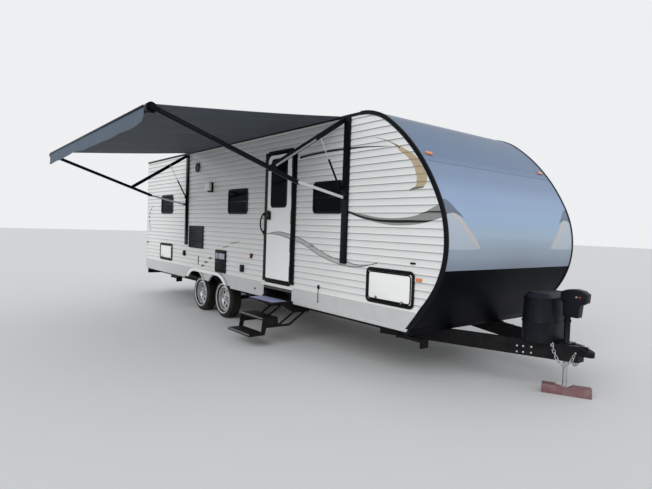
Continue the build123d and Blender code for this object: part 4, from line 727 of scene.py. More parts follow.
coloured = set()
for material, names in NODE_FINISHES:
    for name in names:
        mesh = nodes[name].data
        mesh.materials.clear()
        mesh.materials.append(material)
        coloured.add(name)
print("Nodes without a finish:", sorted(set(nodes) - coloured))

# %% [markdown]
# The siding is ribbed aluminium in level boards. Each board leans out to its foot and turns back
# under in a short lip, which is the bright and dark line that runs along the wall. A colour ramp
# over each board's height paints that line as well: a painted highlight at the board's foot and
# painted shade up under the lip of the board above. The boards' outline is a chain of points
# repeated up the wall, pulled along the wall, and used as a cutter.

# %% Board outline
BOARD_PITCH = 0.0762
BOARD_FOOT_Z = 0.768
BOARD_SHAPE = ((0.0, 0.0), (0.09, 0.0002), (0.30, 0.0022), (0.60, 0.0056), (0.84, 0.0084), (0.955, 0.0090))
# Painted highlight and painted shade on each board: bright at the board's foot, dark up under the lip of
# the board above.
BOARD_HIGHLIGHT_AND_SHADE = (
    (0.00, (0.80, 0.80, 0.78)),
    (0.10, (0.82, 0.82, 0.80)),
    (0.22, (0.74, 0.75, 0.74)),
    (0.60, (0.71, 0.72, 0.72)),
    (0.86, (0.60, 0.61, 0.62)),
    (0.95, (0.39, 0.40, 0.42)),
    (0.99, (0.33, 0.34, 0.36)),
)
# The ramp repeats once a board, so every board gets the same painted highlight and shade.
tree = SIDING.node_tree
raised = math_node(tree, "SUBTRACT", height_of(tree), BOARD_FOOT_Z)
share = math_node(tree, "FRACT", math_node(tree, "DIVIDE", raised, BOARD_PITCH), 0.0)
shade_by(SIDING, share, BOARD_HIGHLIGHT_AND_SHADE)
RIGHT_FACE_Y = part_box("wall_right")[0].y
LEFT_FACE_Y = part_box("wall_left")[1].y
REAR_FACE_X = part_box("wall_rear")[0].x


def board_levels(low, high):
    """Pairs of height and depth of the boards' face from one height to another."""
    levels = []
    board = int((low - BOARD_FOOT_Z) / BOARD_PITCH) - 1
    while BOARD_FOOT_Z + board * BOARD_PITCH < high:
        for share, depth in BOARD_SHAPE:
            z = BOARD_FOOT_Z + (board + share) * BOARD_PITCH
            if low - BOARD_PITCH <= z <= high + BOARD_PITCH:
                levels.append((z, depth))
        board += 1
    return levels


def side_boards(name, face_y, x0, x1, z0, z1, out, thick):
    """A sheet of boards on a side wall, its face standing out from the wall's by out."""
    inwards = 1.0 if face_y < 0 else -1.0
    points = [(x0, face_y + inwards * (depth - out), z) for z, depth in board_levels(z0, z1)]
    piece = sweep(name, points, (x1 - x0, 0.0, 0.0))
    edit(piece)
    pull((0.0, inwards * thick, 0.0))
    return close_up(piece)


print("Boards on a wall:", int((CAP_TOP_Z - BOARD_FOOT_Z) / BOARD_PITCH))

# %% Ribbed siding of both sides
for node, face_y in (("wall_right", RIGHT_FACE_Y), ("wall_left", LEFT_FACE_Y)):
    low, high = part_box(node)
    wall = copy_of_node(node, node.replace("wall", "siding"))
    grooves = side_boards("grooves", face_y, low.x - 0.1, high.x + 0.1, low.z, high.z, 0.0, -0.03)
    carve(wall, grooves)
    dress(wall, SIDING, "root", "siding_white", angle=25.0)
    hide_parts(node)
    print(wall.name, "faces:", len(wall.data.polygons))

# %% Ribbed siding of the back
low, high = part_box("wall_rear")
rear = copy_of_node("wall_rear", "siding_rear")
rear_points = [(REAR_FACE_X + depth, low.y - 0.05, z) for z, depth in board_levels(low.z, high.z)]
rear_grooves = sweep("grooves", rear_points, (0.0, high.y - low.y + 0.1, 0.0))
edit(rear_grooves)
pull((-0.03, 0.0, 0.0))
close_up(rear_grooves)
carve(rear, rear_grooves)
dress(rear, SIDING, "root", "siding_white", angle=25.0)
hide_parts("wall_rear")
print(rear.name, "faces:", len(rear.data.polygons))

# %% [markdown]
# Sheet metal and mouldings never end in a knife edge. A merged copy of a construction piece gets a
# small bevel, which catches a line of light, and then stands for the plain one.

# %% Softened edges
def softened(node, width, material, body="root", slot=None, segments=2):
    """A copy of a construction piece with its edges rounded, put in its place."""
    piece = copy_of_node(node, node + "_form")
    soften(piece, width, segments)
    dress(piece, material, body, slot)
    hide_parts(node)
    return piece


for node, width, material, body, slot, segments in (
    ("window_frames", 0.0025, TRIM, "root", "trim_black", 2),
    ("gas_cover", 0.004, COVER, "root", "cover_black", 3),
    ("tongue_jack", 0.003, COVER, "root", "frame_black", 2),
    ("coupler", 0.003, FRAME, "root", "frame_black", 2),
    ("bumper", 0.003, FRAME, "root", "frame_black", 2),
    ("roof_fittings", 0.018, ROOF, "root", "roof_white", 3),
    ("awning_rafters", 0.002, AWNING_BLACK, "awning_rafters", "awning_black", 2),
    ("awning_arms", 0.002, AWNING_BLACK, "awning_arms", "awning_black", 2),
    ("awning_posts", 0.002, AWNING_BLACK, "root", "awning_black", 2),
    ("jack_pad", 0.004, PAD, "jack_ram", "pad_red", 2),
    ("step_housing", 0.002, STEP, "root", "step_black", 2),
    ("step_treads", 0.002, STEP, "step_treads", "step_black", 2),
    ("step_outer_arms", 0.001, STEP, "step_outer_arms", "step_black", 2),
    ("step_inner_arms", 0.001, STEP, "step_inner_arms", "step_black", 2),
    ("lamps_amber", 0.005, AMBER, "root", "lamp_amber", 3),
    ("lamps_red", 0.005, RED, "root", "lamp_red", 3),
):
    softened(node, width, material, body, slot, segments)
print("Softened pieces ready")

# %% [markdown]
# Panels, rings and lids on the walls are rounded rectangles that stand out by a few millimetres.
# One outline helper draws the corner arcs, and a ring is a panel with a smaller panel cut out.

# %% Panels on the walls
WALL_HALF = LEFT_FACE_Y
RIGHT = -1
LEFT = 1
SIDES = ((RIGHT, "right"), (LEFT, "left"))
DOOR_FACE = 0.010


def rounded(x0, z0, x1, z1, corner, steps=6):
    """Points of a rounded rectangle, going round once."""
    points = []
    for x, z, start in (
        (x1 - corner, z1 - corner, 0),
        (x0 + corner, z1 - corner, 90),
        (x0 + corner, z0 + corner, 180),
        (x1 - corner, z0 + corner, 270),
    ):
        for step in range(steps + 1):
            turn = radians(start + 90 * step / steps)
            points.append((x + corner * cos(turn), z + corner * sin(turn)))
    return points


def panel(name, rect, corner, side, start, stop):
    """A rounded plate on a side wall between two distances out from its face."""
    y = side * (WALL_HALF + start)
    outline = [(x, y, z) for x, z in rounded(*rect, corner)]
    return prism(name, outline, (0.0, side * (stop - start), 0.0))


def ring(name, rect, corner, width, side, start, stop, edge=0.0015):
    """A rounded frame of one width, with its edges softened."""
    x0, z0, x1, z1 = rect
    outer = panel(name, rect, corner, side, start, stop)
    within = (x0 + width, z0 + width, x1 - width, z1 - width)
    hole = panel("hole", within, max(corner - width, 0.004), side, start - 0.02, stop + 0.02)
    carve(outer, hole)
    return soften(outer, edge)


def flow(points, steps=6):
    """A smooth line through points, in the way of a spring laid over pins."""
    line = []
    ends = [points[0]] + list(points) + [points[-1]]
    for four in zip(ends, ends[1:], ends[2:], ends[3:]):
        for step in range(steps):
            t = step / steps
            place = []
            for p, q, r, w in zip(*four):
                bend = (2 * p - 5 * q + 4 * r - w) * t**2 + (3 * q - p - 3 * r + w) * t**3
                place.append(0.5 * (2 * q + (r - p) * t + bend))
            line.append(tuple(place))
    return line + [tuple(points[-1])]


print("Panel helpers ready")

# %% [markdown]
# The stripes along the sides are printed film stuck over the boards, so they follow every rib. A
# thin sheet with the boards' outline stands a hair in front of the wall and is cut to the stripe's
# own outline. On the entry door, which is flat, the same outline cuts a flat film.

# %% Film colours
FILM_DARK = finish("dark film", (0.020, 0.024, 0.026), 0.45, shade=0.15, bump=0.02, mirror=0.3)
FILM_BLACK = finish("black film", (0.008, 0.009, 0.011), 0.42, shade=0.1, bump=0.02, mirror=0.25)
FILM_GREY = finish("grey green film", (0.235, 0.250, 0.238), 0.42, shade=0.12, scale=9.0, bump=0.02)
FILM_TAN = finish("tan film", (0.44, 0.36, 0.235), 0.45, shade=0.14, scale=14.0, bump=0.02)
FILM_OLIVE = finish("olive film", (0.135, 0.140, 0.115), 0.45, shade=0.14, bump=0.02)
FILM_PALE = finish("pale grey film", (0.44, 0.45, 0.45), 0.42, shade=0.2, scale=20.0, bump=0.02)


def film(name, upper, lower, material, span=None, side=RIGHT, lift=0.0008):
    """Printed film on the boards between an upper and a lower line of (x, z) points."""
    outline = flow(upper) + flow(lower)[::-1]
    xs = [x for x, z in outline]
    zs = [z for x, z in outline]
    x0, x1 = span or (min(xs) - 0.01, max(xs) + 0.01)
    face_y = side * WALL_HALF
    sheet = side_boards(name, face_y, x0, x1, min(zs), max(zs), lift, 0.0016)
    tool = prism("outline", [(x, face_y - side * 0.05, z) for x, z in outline], (0.0, side * 0.1, 0.0))
    carve(sheet, tool, "INTERSECT")
    return dress(sheet, material, "root", "trim_black", angle=25.0)


def door_film(name, upper, lower, material, x0, x1, lift=0.0006):
    """Printed film on the flat entry door, between two heights across."""
    outline = flow(upper) + flow(lower)[::-1]
    zs = [z for x, z in outline]
    piece = block(
        name,
        (x0, -WALL_HALF - DOOR_FACE - lift, min(zs) - 0.01),
        (x1, -WALL_HALF - DOOR_FACE + 0.0008, max(zs) + 0.01),
    )
    tool = prism("outline", [(x, -1.30, z) for x, z in outline], (0.0, 0.15, 0.0))
    carve(piece, tool, "INTERSECT")
    return dress(piece, material, "entry_door", "trim_black")


print("Film ready")

# %% Outlines of the stripes, as (x, z) on the wall
ARC_UPPER = (
    (-3.001, 2.493), (-2.765, 2.506), (-2.542, 2.511), (-2.331, 2.513), (-1.996, 2.504), (-1.759, 2.491),
    (-1.487, 2.465), (-1.343, 2.450),
)
ARC_LOWER = (
    (-2.999, 2.458), (-2.764, 2.478), (-2.540, 2.484), (-2.329, 2.488), (-1.995, 2.482), (-1.758, 2.477),
    (-1.486, 2.457), (-1.343, 2.449),
)
TAN_LINE_UPPER = ((-1.608, 2.573), (-1.458, 2.533), (-1.329, 2.481), (-1.234, 2.432))
TAN_LINE_LOWER = ((-1.608, 2.569), (-1.458, 2.526), (-1.329, 2.470), (-1.240, 2.418))
TAN_UPPER = (
    (-1.300, 2.472), (-1.220, 2.431), (-1.098, 2.370), (-1.003, 2.307), (-0.943, 2.238), (-0.877, 2.149),
    (-0.858, 2.086), (-0.865, 2.049), (-0.897, 2.009),
)
TAN_LOWER = (
    (-1.300, 2.455), (-1.232, 2.388), (-1.125, 2.318), (-1.048, 2.236), (-1.004, 2.147), (-0.990, 2.072),
    (-1.008, 2.003),
)
OLIVE_UPPER = ((-1.092, 1.979), (-1.008, 2.012), (-0.893, 2.012))
OLIVE_LOWER = ((-1.092, 1.978), (-1.007, 1.987), (-0.900, 1.998))
SWOOSH_UPPER = (
    (-2.014, 1.783), (-1.790, 1.746), (-1.545, 1.711), (-1.303, 1.701), (-1.078, 1.713), (-0.897, 1.751),
    (-0.805, 1.792), (-0.690, 1.845),
)
SWOOSH_LOWER = (
    (-2.012, 1.757), (-1.787, 1.698), (-1.542, 1.653), (-1.299, 1.628), (-1.074, 1.632), (-0.905, 1.651),
    (-0.772, 1.678), (-0.645, 1.715),
)
CORE_UPPER = (
    (-2.013, 1.779), (-1.788, 1.724), (-1.544, 1.690), (-1.302, 1.680), (-1.076, 1.683), (-0.866, 1.680),
    (-0.773, 1.686),
)
CORE_LOWER = (
    (-2.012, 1.757), (-1.787, 1.704), (-1.543, 1.666), (-1.300, 1.654), (-1.075, 1.656), (-0.865, 1.663),
    (-0.773, 1.684),
)
SPUR_UPPER = ((-0.952, 1.742), (-0.830, 1.770), (-0.640, 1.770))
SPUR_LOWER = ((-0.952, 1.740), (-0.830, 1.759), (-0.640, 1.757))
WAVE_ONE_UPPER = (
    (-3.894, 1.439), (-3.742, 1.464), (-3.451, 1.502), (-3.199, 1.481), (-3.057, 1.459), (-2.868, 1.413),
    (-2.645, 1.351),
)
WAVE_ONE_LOWER = (
    (-3.894, 1.433), (-3.661, 1.461), (-3.398, 1.447), (-3.172, 1.410), (-3.054, 1.392), (-2.864, 1.347),
    (-2.751, 1.307),
)
WAVE_TWO_UPPER = (
    (-2.735, 1.345), (-2.623, 1.334), (-2.373, 1.253), (-2.120, 1.210), (-2.012, 1.201), (-1.849, 1.177),
    (-1.647, 1.188), (-1.506, 1.217),
)
WAVE_TWO_LOWER = (
    (-2.735, 1.297), (-2.600, 1.252), (-2.472, 1.216), (-2.271, 1.170), (-2.117, 1.150), (-2.009, 1.143),
    (-1.900, 1.137), (-1.730, 1.158), (-1.506, 1.213),
)


def shifted(line, step):
    """A line moved up by a step."""
    return tuple((x, z + step) for x, z in line)


print("Stripe outlines ready")

# %% Stripes on both sides
LINE_WIDTH = 0.007
DOOR_SPAN = (-3.770, -3.104)
REAR_SPAN = (-3.90, -3.812)
FRONT_SPAN = (-3.091, -2.60)
ON_WALL = 0.0008
ON_FILM = 0.0013
WAVE_ONE_TOP = (WAVE_ONE_UPPER, shifted(WAVE_ONE_UPPER, -LINE_WIDTH), FILM_DARK)
WAVE_ONE_FOOT = (shifted(WAVE_ONE_LOWER, LINE_WIDTH), WAVE_ONE_LOWER, FILM_DARK)
STRIPES = (
    ("stripe_arc_", ARC_UPPER, ARC_LOWER, FILM_DARK, None, ON_WALL),
    ("stripe_tan_line_", TAN_LINE_UPPER, TAN_LINE_LOWER, FILM_OLIVE, None, ON_WALL),
    ("stripe_tan_", TAN_UPPER, TAN_LOWER, FILM_TAN, None, ON_WALL),
    ("stripe_olive_", OLIVE_UPPER, OLIVE_LOWER, FILM_OLIVE, None, 0.0012),
    ("swoosh_", SWOOSH_UPPER, SWOOSH_LOWER, FILM_GREY, (-2.02, -0.648), ON_WALL),
    ("swoosh_core_", CORE_UPPER, CORE_LOWER, FILM_BLACK, None, ON_FILM),
    ("swoosh_spur_", SPUR_UPPER, SPUR_LOWER, FILM_BLACK, (-0.96, -0.648), ON_FILM),
    ("wave_", WAVE_TWO_UPPER, WAVE_TWO_LOWER, FILM_PALE, None, ON_WALL),
    ("wave_top_line_", WAVE_TWO_UPPER, shifted(WAVE_TWO_UPPER, -LINE_WIDTH), FILM_DARK, None, ON_FILM),
    ("wave_foot_line_", shifted(WAVE_TWO_LOWER, LINE_WIDTH), WAVE_TWO_LOWER, FILM_DARK, None, ON_FILM),
)
for side, tag in SIDES:
    for name, upper, lower, material, span, lift in STRIPES:
        film(name + tag, upper, lower, material, span, side, lift)
    spans = (REAR_SPAN, FRONT_SPAN) if side == RIGHT else ((-3.90, -2.60),)
    for number, span in enumerate(spans):
        end = tag + "_" + str(number)
        film("wave_rear_" + end, WAVE_ONE_UPPER, WAVE_ONE_LOWER, FILM_PALE, span=span, side=side)
        film("wave_rear_top_" + end, *WAVE_ONE_TOP, span, side, ON_FILM)
        if span[1] > -3.6:
            film("wave_rear_foot_" + end, *WAVE_ONE_FOOT, span, side, ON_FILM)
door_film("door_wave", WAVE_ONE_UPPER, WAVE_ONE_LOWER, FILM_PALE, *DOOR_SPAN)
door_film("door_wave_top", *WAVE_ONE_TOP, *DOOR_SPAN, lift=0.0011)
door_film("door_wave_foot", *WAVE_ONE_FOOT, -3.66, DOOR_SPAN[1], lift=0.0011)
print("Stripes of a side:", len(STRIPES))

# %% [markdown]
# The cap's outline is four arcs, as in the construction. Film and seams on the cap need a sheet with
# that curve, so the arcs are walked again here, on the cap's face or a step outside it.

# %% Curve of the cap
NOSE_START = (-1.8487, 2.884)
NOSE_RADII = (0.782, 2.150, 1.065, 0.900)
NOSE_TURNS = (35.0, 30.0, 25.0, 38.5)


def cap_line(foot_z, top_z, out, step=1.0):
    """Places (x, z) on the curve between two heights, standing out from it."""
    x, z = NOSE_START
    heading = 0.0
    line = []
    for radius, turn in zip(NOSE_RADII, NOSE_TURNS):
        middle_x = x - radius * sin(radians(heading))
        middle_z = z - radius * cos(radians(heading))
        parts = max(1, round(turn / step))
        for part in range(parts + 1):
            now = radians(heading + turn * part / parts)
            place_x = middle_x + (radius + out) * sin(now)
            place_z = middle_z + (radius + out) * cos(now)
            if foot_z <= place_z <= top_z and (not line or line[-1] != (place_x, place_z)):
                line.append((place_x, place_z))
        heading += turn
        x = middle_x + radius * sin(radians(heading))
        z = middle_z + radius * cos(radians(heading))
    return line


def cap_film(name, upper, lower, material, out):
    """Film on the cap between two lines of (y, z) points."""
    outline = flow(upper) + flow(lower)[::-1]
    ys = [y for y, z in outline]
    zs = [z for y, z in outline]
    line = cap_line(min(zs) - 0.03, max(zs) + 0.03, 0.0)
    low = max(min(ys) - 0.01, -WALL_HALF + 0.0012)
    high = min(max(ys) + 0.01, WALL_HALF - 0.0012)
    sheet = sweep(name, [(x, low, z) for x, z in line], (0.0, high - low, 0.0))
    thicken(sheet, 2 * out)
    tool = prism("outline", [(-1.9, y, z) for y, z in outline], (1.6, 0.0, 0.0))
    carve(sheet, tool, "INTERSECT")
    return dress(sheet, material, "root", "cap_silver")


print("Cap curve points:", len(cap_line(1.3, 2.8, 0.0)))

# %% Seam, crescents and streaks of the cap
cap = copy_of_node("nose_cap", "cap_shell")
SEAM_Z = 2.2785
seam_line = cap_line(SEAM_Z - 0.004, SEAM_Z + 0.004, 0.0, 0.02)
seam_x = sum(x for x, z in seam_line) / len(seam_line)
seam_cut = prism(
    "seam_cut",
    [
        (seam_x - 0.007, -1.3, SEAM_Z - 0.008),
        (seam_x + 0.010, -1.3, SEAM_Z + 0.007),
        (seam_x + 0.012, -1.3, SEAM_Z + 0.003),
        (seam_x - 0.004, -1.3, SEAM_Z - 0.011),
    ],
    (0.0, 2.6, 0.0),
)
carve(cap, seam_cut)
dress(cap, CAP, "root", "cap_silver")
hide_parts("nose_cap")
CAP_DARK = finish("cap dark film", (0.115, 0.160, 0.235), 0.3, shade=0.04, bump=0.02, coat=0.3)
CAP_PALE = finish("cap pale film", (0.465, 0.540, 0.645), 0.3, shade=0.05, scale=1.5, bump=0.02, coat=0.3)
CAP_STREAK = finish("cap warm film", (0.580, 0.540, 0.530), 0.3, shade=0.10, scale=5.0, bump=0.02, coat=0.3)
CRESCENT_UPPER = (
    (-1.240, 1.880), (-1.209, 1.889), (-1.149, 1.887), (-1.089, 1.853), (-1.034, 1.802), (-0.972, 1.756),
    (-0.937, 1.718),
)
CRESCENT_LOWER = (
    (-1.240, 1.690), (-1.216, 1.717), (-1.187, 1.740), (-1.136, 1.757), (-1.065, 1.762), (-0.993, 1.740),
    (-0.937, 1.718),
)
STREAK_UPPER = (
    (-1.120, 1.757), (-1.065, 1.757), (-0.975, 1.712), (-0.890, 1.632), (-0.800, 1.545), (-0.730, 1.470),
    (-0.690, 1.425),
)
STREAK_LOWER = (
    (-1.120, 1.746), (-1.080, 1.722), (-1.000, 1.668), (-0.920, 1.590), (-0.840, 1.510), (-0.770, 1.450),
    (-0.705, 1.418),
)
FIELD_UPPER = (
    (-1.240, 1.690), (-1.216, 1.717), (-1.187, 1.740), (-1.136, 1.755), (-1.080, 1.735), (-1.000, 1.675),
    (-0.920, 1.598), (-0.840, 1.516), (-0.770, 1.456), (-0.705, 1.424),
)
FIELD_LOWER = (
    (-1.240, 1.420), (-1.180, 1.414), (-1.100, 1.412), (-1.000, 1.410), (-0.920, 1.410), (-0.840, 1.410),
    (-0.770, 1.412), (-0.705, 1.418),
)
for name, upper, lower, material, out in (
    ("crescent_", CRESCENT_UPPER, CRESCENT_LOWER, CAP_DARK, 0.0010),
    ("cap_streak_", STREAK_UPPER, STREAK_LOWER, CAP_STREAK, 0.0008),
    ("cap_field_", FIELD_UPPER, FIELD_LOWER, CAP_PALE, 0.0005),
):
    for side, tag in SIDES:
        across = [[(-side * y, z) for y, z in line] for line in (upper, lower)]
        cap_film(name + tag, *across, material, out)
print("Cap dressed, seam at", SEAM_Z)

# %% [markdown]
# A black moulding covers the joint between the front and each side. It is one strip that follows
# the curve from the roof to the frame, wide enough to lap over the cap, with its edges rounded. Its
# foot goes on below the panels, and so do the black front and the skirts, down to the frame. The
# black front's apron is partly painted shade: it fills the gap above the frame, where there is only
# the shade under the body.

# %% Edge mouldings, apron and skirt corners
def front_line(foot_z, top_z, out):
    """The cap's curve with the straight run below it, between two heights."""
    end_x, end_z = cap_line(0.0, 3.0, out)[-1]
    slope = tan(radians(sum(NOSE_TURNS) - 90.0))
    line = cap_line(foot_z, top_z, out)
    start_z = min(end_z, top_z)
    if not line:
        line.append((end_x - (end_z - start_z) * slope, start_z))
    return line + [(end_x - (end_z - foot_z) * slope, foot_z)]


APRON_FOOT_Z = 0.513
APRON_THICK = 0.014
SKIRT_FOOT_Z = 0.587
SKIRT_HEM_Z = 0.553
SKIRT_TOP_Z = 0.768
CORNER_X = -1.075
BEAD_TOP_Z = 2.895
BEAD_WIDTH = 0.027
BEAD_PROUD = 0.0075
for side, tag in SIDES:
    outline = front_line(APRON_FOOT_Z, BEAD_TOP_Z, BEAD_PROUD)
    outline += front_line(APRON_FOOT_Z, BEAD_TOP_Z, -0.006)[::-1]
    start_y = side * (WALL_HALF + 0.006 - BEAD_WIDTH)
    places = [(x, start_y, z) for x, z in outline]
    bead = prism("edge_moulding_" + tag, places, (0.0, side * BEAD_WIDTH, 0.0))
    soften(bead, 0.0025, 2, angle=40.0)
    dress(bead, TRIM, "root", "trim_black", angle=40.0)
# The apron is partly painted shade: a black plate down to the frame, in a gap that shows only the shade
# under the body.
apron_line = front_line(APRON_FOOT_Z, 0.594, 0.0)
outline = apron_line + [(x - APRON_THICK, z) for x, z in apron_line[::-1]]
apron = prism("front_apron", [(x, -1.2, z) for x, z in outline], (0.0, 2.4, 0.0))
finished(apron, 0.002, FRONT, slot="front_black")
HEM_SPANS = {
    RIGHT: ((-8.780, -6.640), (-4.830, -3.836), (-3.052, -1.072)),
    LEFT: ((-8.780, -6.640), (-4.830, -1.072)),
}
for side, tag in SIDES:
    outline = front_line(SKIRT_HEM_Z, SKIRT_TOP_Z, -0.004)
    outline += [(CORNER_X, SKIRT_HEM_Z), (CORNER_X, SKIRT_TOP_Z)]
    start_y = side * (WALL_HALF - 0.0035)
    corner = prism("skirt_corner_" + tag, [(x, start_y, z) for x, z in outline], (0.0, side * 0.0040, 0.0))
    dress(corner, SKIRT, "root", "skirt_grey")
    low_y, high_y = sorted((start_y, side * (WALL_HALF + 0.0030)))
    for number, (x0, x1) in enumerate(HEM_SPANS[side]):
        name = "skirt_hem_" + tag + "_" + str(number)
        hem = block(name, (x0, low_y, SKIRT_HEM_Z), (x1, high_y, SKIRT_FOOT_Z + 0.0035))
        finished(hem, 0.0024, SKIRT, slot="skirt_grey")
print("Edges, apron and skirt corners ready; apron foot x", round(apron_line[-1][0], 3))

# %% [markdown]
# The awning's cloth is held along the wall and rolled on the tube in front, so it hangs in a very
# shallow belly with faint ripples. It is a fine grid whose points are dropped by a smooth rule. The
# hems and sewn seams are narrow strips of the same surface, lying on it.

# %% Awning cloth
FABRIC_LOW, FABRIC_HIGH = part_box("awning_fabric")
RAIL_PLACE = (FABRIC_HIGH.y, 2.869)
TUBE_PLACE = (FABRIC_LOW.y, 2.617)
CLOTH_SAG = 0.022
CLOTH_THICK = 0.0016
HEM_THICK = 0.0044
HEM_WIDTH = 0.030


def cloth_place(x, run):
    """A place on the awning's cloth: across the caravan by run, from the rail to the tube."""
    y = RAIL_PLACE[0] + (TUBE_PLACE[0] - RAIL_PLACE[0]) * run
    z = RAIL_PLACE[1] + (TUBE_PLACE[1] - RAIL_PLACE[1]) * run
    belly = sin(pi * run)
    edge = min(x - FABRIC_LOW.x, FABRIC_HIGH.x - x)
    pulled = 1.0 - 0.55 * max(0.0, 1.0 - edge / 0.6)
    ripple = 0.0022 * sin(9.0 * x + 1.3) + 0.0014 * sin(23.0 * x + 5.0 * run)
    return Vector((x, y, z - belly * (CLOTH_SAG * pulled + ripple)))


def cloth_strip(name, x0, x1, margin, thick, across):
    """A strip of the cloth's surface between two places along, a margin short at both its ends."""

    def place(share, run):
        """Where the strip's surface is, by shares of its width and its length."""
        return cloth_place(x0 + (x1 - x0) * share, margin + (1.0 - 2 * margin) * run)

    piece = grid(name, across, 48, thick, place)
    dress(piece, CLOTH_TOP, "root", "awning_cloth", angle=50.0)
    piece.data.materials.append(CLOTH_UNDER_SHADED)
    # Faces that look down get the underside's painted shade.
    for face in piece.data.polygons:
        face.material_index = 1 if face.normal.z < -0.2 else 0
    return piece


def fold_up(piece):
    """Give a piece of the cloth its own mesh."""
    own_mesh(piece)
    return piece


cloth = cloth_strip("awning_cloth", FABRIC_LOW.x, FABRIC_HIGH.x, 0.0, CLOTH_THICK, 110)
for tag, x0, x1 in (
    ("hem_rear", FABRIC_LOW.x + 0.001, FABRIC_LOW.x + HEM_WIDTH),
    ("seam_rear", -5.115, -5.095),
    ("seam_middle", -3.690, -3.670),
    ("seam_front", -2.480, -2.460),
    ("hem_front", FABRIC_HIGH.x - HEM_WIDTH, FABRIC_HIGH.x - 0.001),
):
    fold_up(cloth_strip("awning_" + tag, x0, x1, 0.004, HEM_THICK, 2))
fold_up(cloth)
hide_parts("awning_fabric")

# %% [markdown]
# Below the tube hangs the valance, a free strip of the same vinyl. Nothing pulls at its foot, so it
# waves a little, more towards its foot, and its foot isn't quite level. A bead stiffens the edge,
# and its head sits in a slim black groove along the tube.

# %% Valance
VALANCE_LOW, VALANCE_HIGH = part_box("awning_valance")
VALANCE_Y = (VALANCE_LOW.y + VALANCE_HIGH.y) / 2
VALANCE_WIDTH = VALANCE_HIGH.x - VALANCE_LOW.x
VALANCE_DROP = 0.160


def valance_place(x, run):
    """A place on the valance, from its head to its foot by run."""
    wave = 0.0080 * sin(4.1 * x) + 0.0050 * sin(9.7 * x + 0.8)
    near_end = max(0.0, (x - VALANCE_HIGH.x + 0.50) / 0.50)
    wave += near_end * 0.010 * sin(31.0 * x + 9.0 * run)
    foot = 0.008 * sin(2.3 * x + 0.5) + 0.005 * sin(6.1 * x) + 0.012 * near_end
    return Vector((x, VALANCE_Y + wave * run**2.5, VALANCE_HIGH.z - VALANCE_DROP * run + foot * run))


def valance_point(share, rise):
    """A place on the valance by shares of its width and of its height from the foot."""
    return valance_place(VALANCE_LOW.x + VALANCE_WIDTH * share, 1.0 - rise)


valance = grid("awning_valance_cloth", 140, 10, 0.0014, valance_point)
VALANCE_CLOTH = vinyl("valance vinyl", (0.100, 0.130, 0.170), mirror=0.05)
dress(valance, VALANCE_CLOTH, "awning_valance", "awning_cloth", angle=50.0)
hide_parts("awning_valance")
BEAD_STEPS = 60
bead_xs = [VALANCE_LOW.x + VALANCE_WIDTH * step / BEAD_STEPS for step in range(BEAD_STEPS + 1)]
bead = chain("awning_valance_bead", [tuple(valance_place(x, 1.0)) for x in bead_xs])
edit(bead, "EDGE")
pull((0.0, -0.0022, 0.0))
edit(bead)
pull((0.0, 0.0, 0.008))
close_up(bead)
dress(bead, VALANCE_CLOTH, "awning_valance", "awning_cloth", angle=50.0)
groove_bar = block(
    "roller_groove",
    (VALANCE_LOW.x, VALANCE_Y - 0.0105, VALANCE_HIGH.z - 0.012),
    (VALANCE_HIGH.x, VALANCE_Y - 0.0015, VALANCE_HIGH.z + 0.006),
    0.002,
)
dress(groove_bar, AWNING_BLACK, "awning_arms", "awning_black")
print("Valance drop", round(VALANCE_DROP, 3))

# %% [markdown]
# The awning's arms are black channels. The inner half of a rafter shows a weathered bar on its face,
# and the outer half of an arm a painted highlight: a line a little paler than the black, where light
# catches between the channel's ridges. These are slim bars lying along the tubes' faces.

# %% Bars along the arms
RAFTER_PIN = (-1.280, 2.807)
ELBOW_PIN = (-2.250, 2.164)
TUBE_PIN = (-3.4736, 2.5727)


def face_bar(name, x, start, stop, width, out, trim):
    """A slim bar along a line of (y, z) places, on a face that looks along X."""
    a, b = Vector((0.0, *start)), Vector((0.0, *stop))
    way = (b - a).normalized()
    side_step = Vector((0.0, -way.z, way.y)) * width / 2
    a, b = a + way * trim[0], b - way * trim[1]
    corners = [a + side_step, b + side_step, b - side_step, a - side_step]
    return prism(name, [(x, c.y, c.z) for c in corners], (out, 0.0, 0.0))


ARM_HIGH_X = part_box("awning_arms")[1].x
ARM_LOW_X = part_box("awning_arms")[0].x
ARM_WIDTH = 0.030
BAR_THICK = 0.0016
for tag, high_x, width in (("front", ARM_HIGH_X, 0.020), ("rear", ARM_LOW_X + ARM_WIDTH, 0.008)):
    # On the arms the bars are painted highlight, a line a little paler than the black.
    for number, (x, out) in enumerate(((high_x, BAR_THICK), (high_x - ARM_WIDTH, -BAR_THICK))):
        name = "arm_highlight_" + tag + str(number)
        bar = face_bar(name, x, ELBOW_PIN, TUBE_PIN, 0.009, out, (0.70, 0.06))
        dress(bar, CHANNEL, "awning_arms", "link_grey")
    name = "rafter_line_" + tag + "0"
    bar = face_bar(name, high_x, RAFTER_PIN, ELBOW_PIN, width, BAR_THICK, (0.50, 0.06))
    dress(bar, RAFTER_BAR, "awning_rafters", "link_grey")
print("Bars on the arms ready")

# %% Heads of the awning tube
ROLLER_LOW, ROLLER_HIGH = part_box("awning_roller")
tube_centre = ((ROLLER_LOW.y + ROLLER_HIGH.y) / 2, (ROLLER_LOW.z + ROLLER_HIGH.z) / 2)
for tag, x, way in (("front", ROLLER_HIGH.x, 1), ("rear", ROLLER_LOW.x, -1)):
    place = (x + way * 0.004, *tube_centre)
    boss = rod("tube_boss_" + tag, 0.034, 0.010, place, 40, (0.0, pi / 2, 0.0))
    dish(boss, lambda centre, normal: normal.x * way > 0.9, 0.009, (-way * 0.003, 0.0, 0.0))
    finished(boss, 0.0015, AWNING_BLACK, "awning_arms", "awning_black")
print("Tube bosses ready")

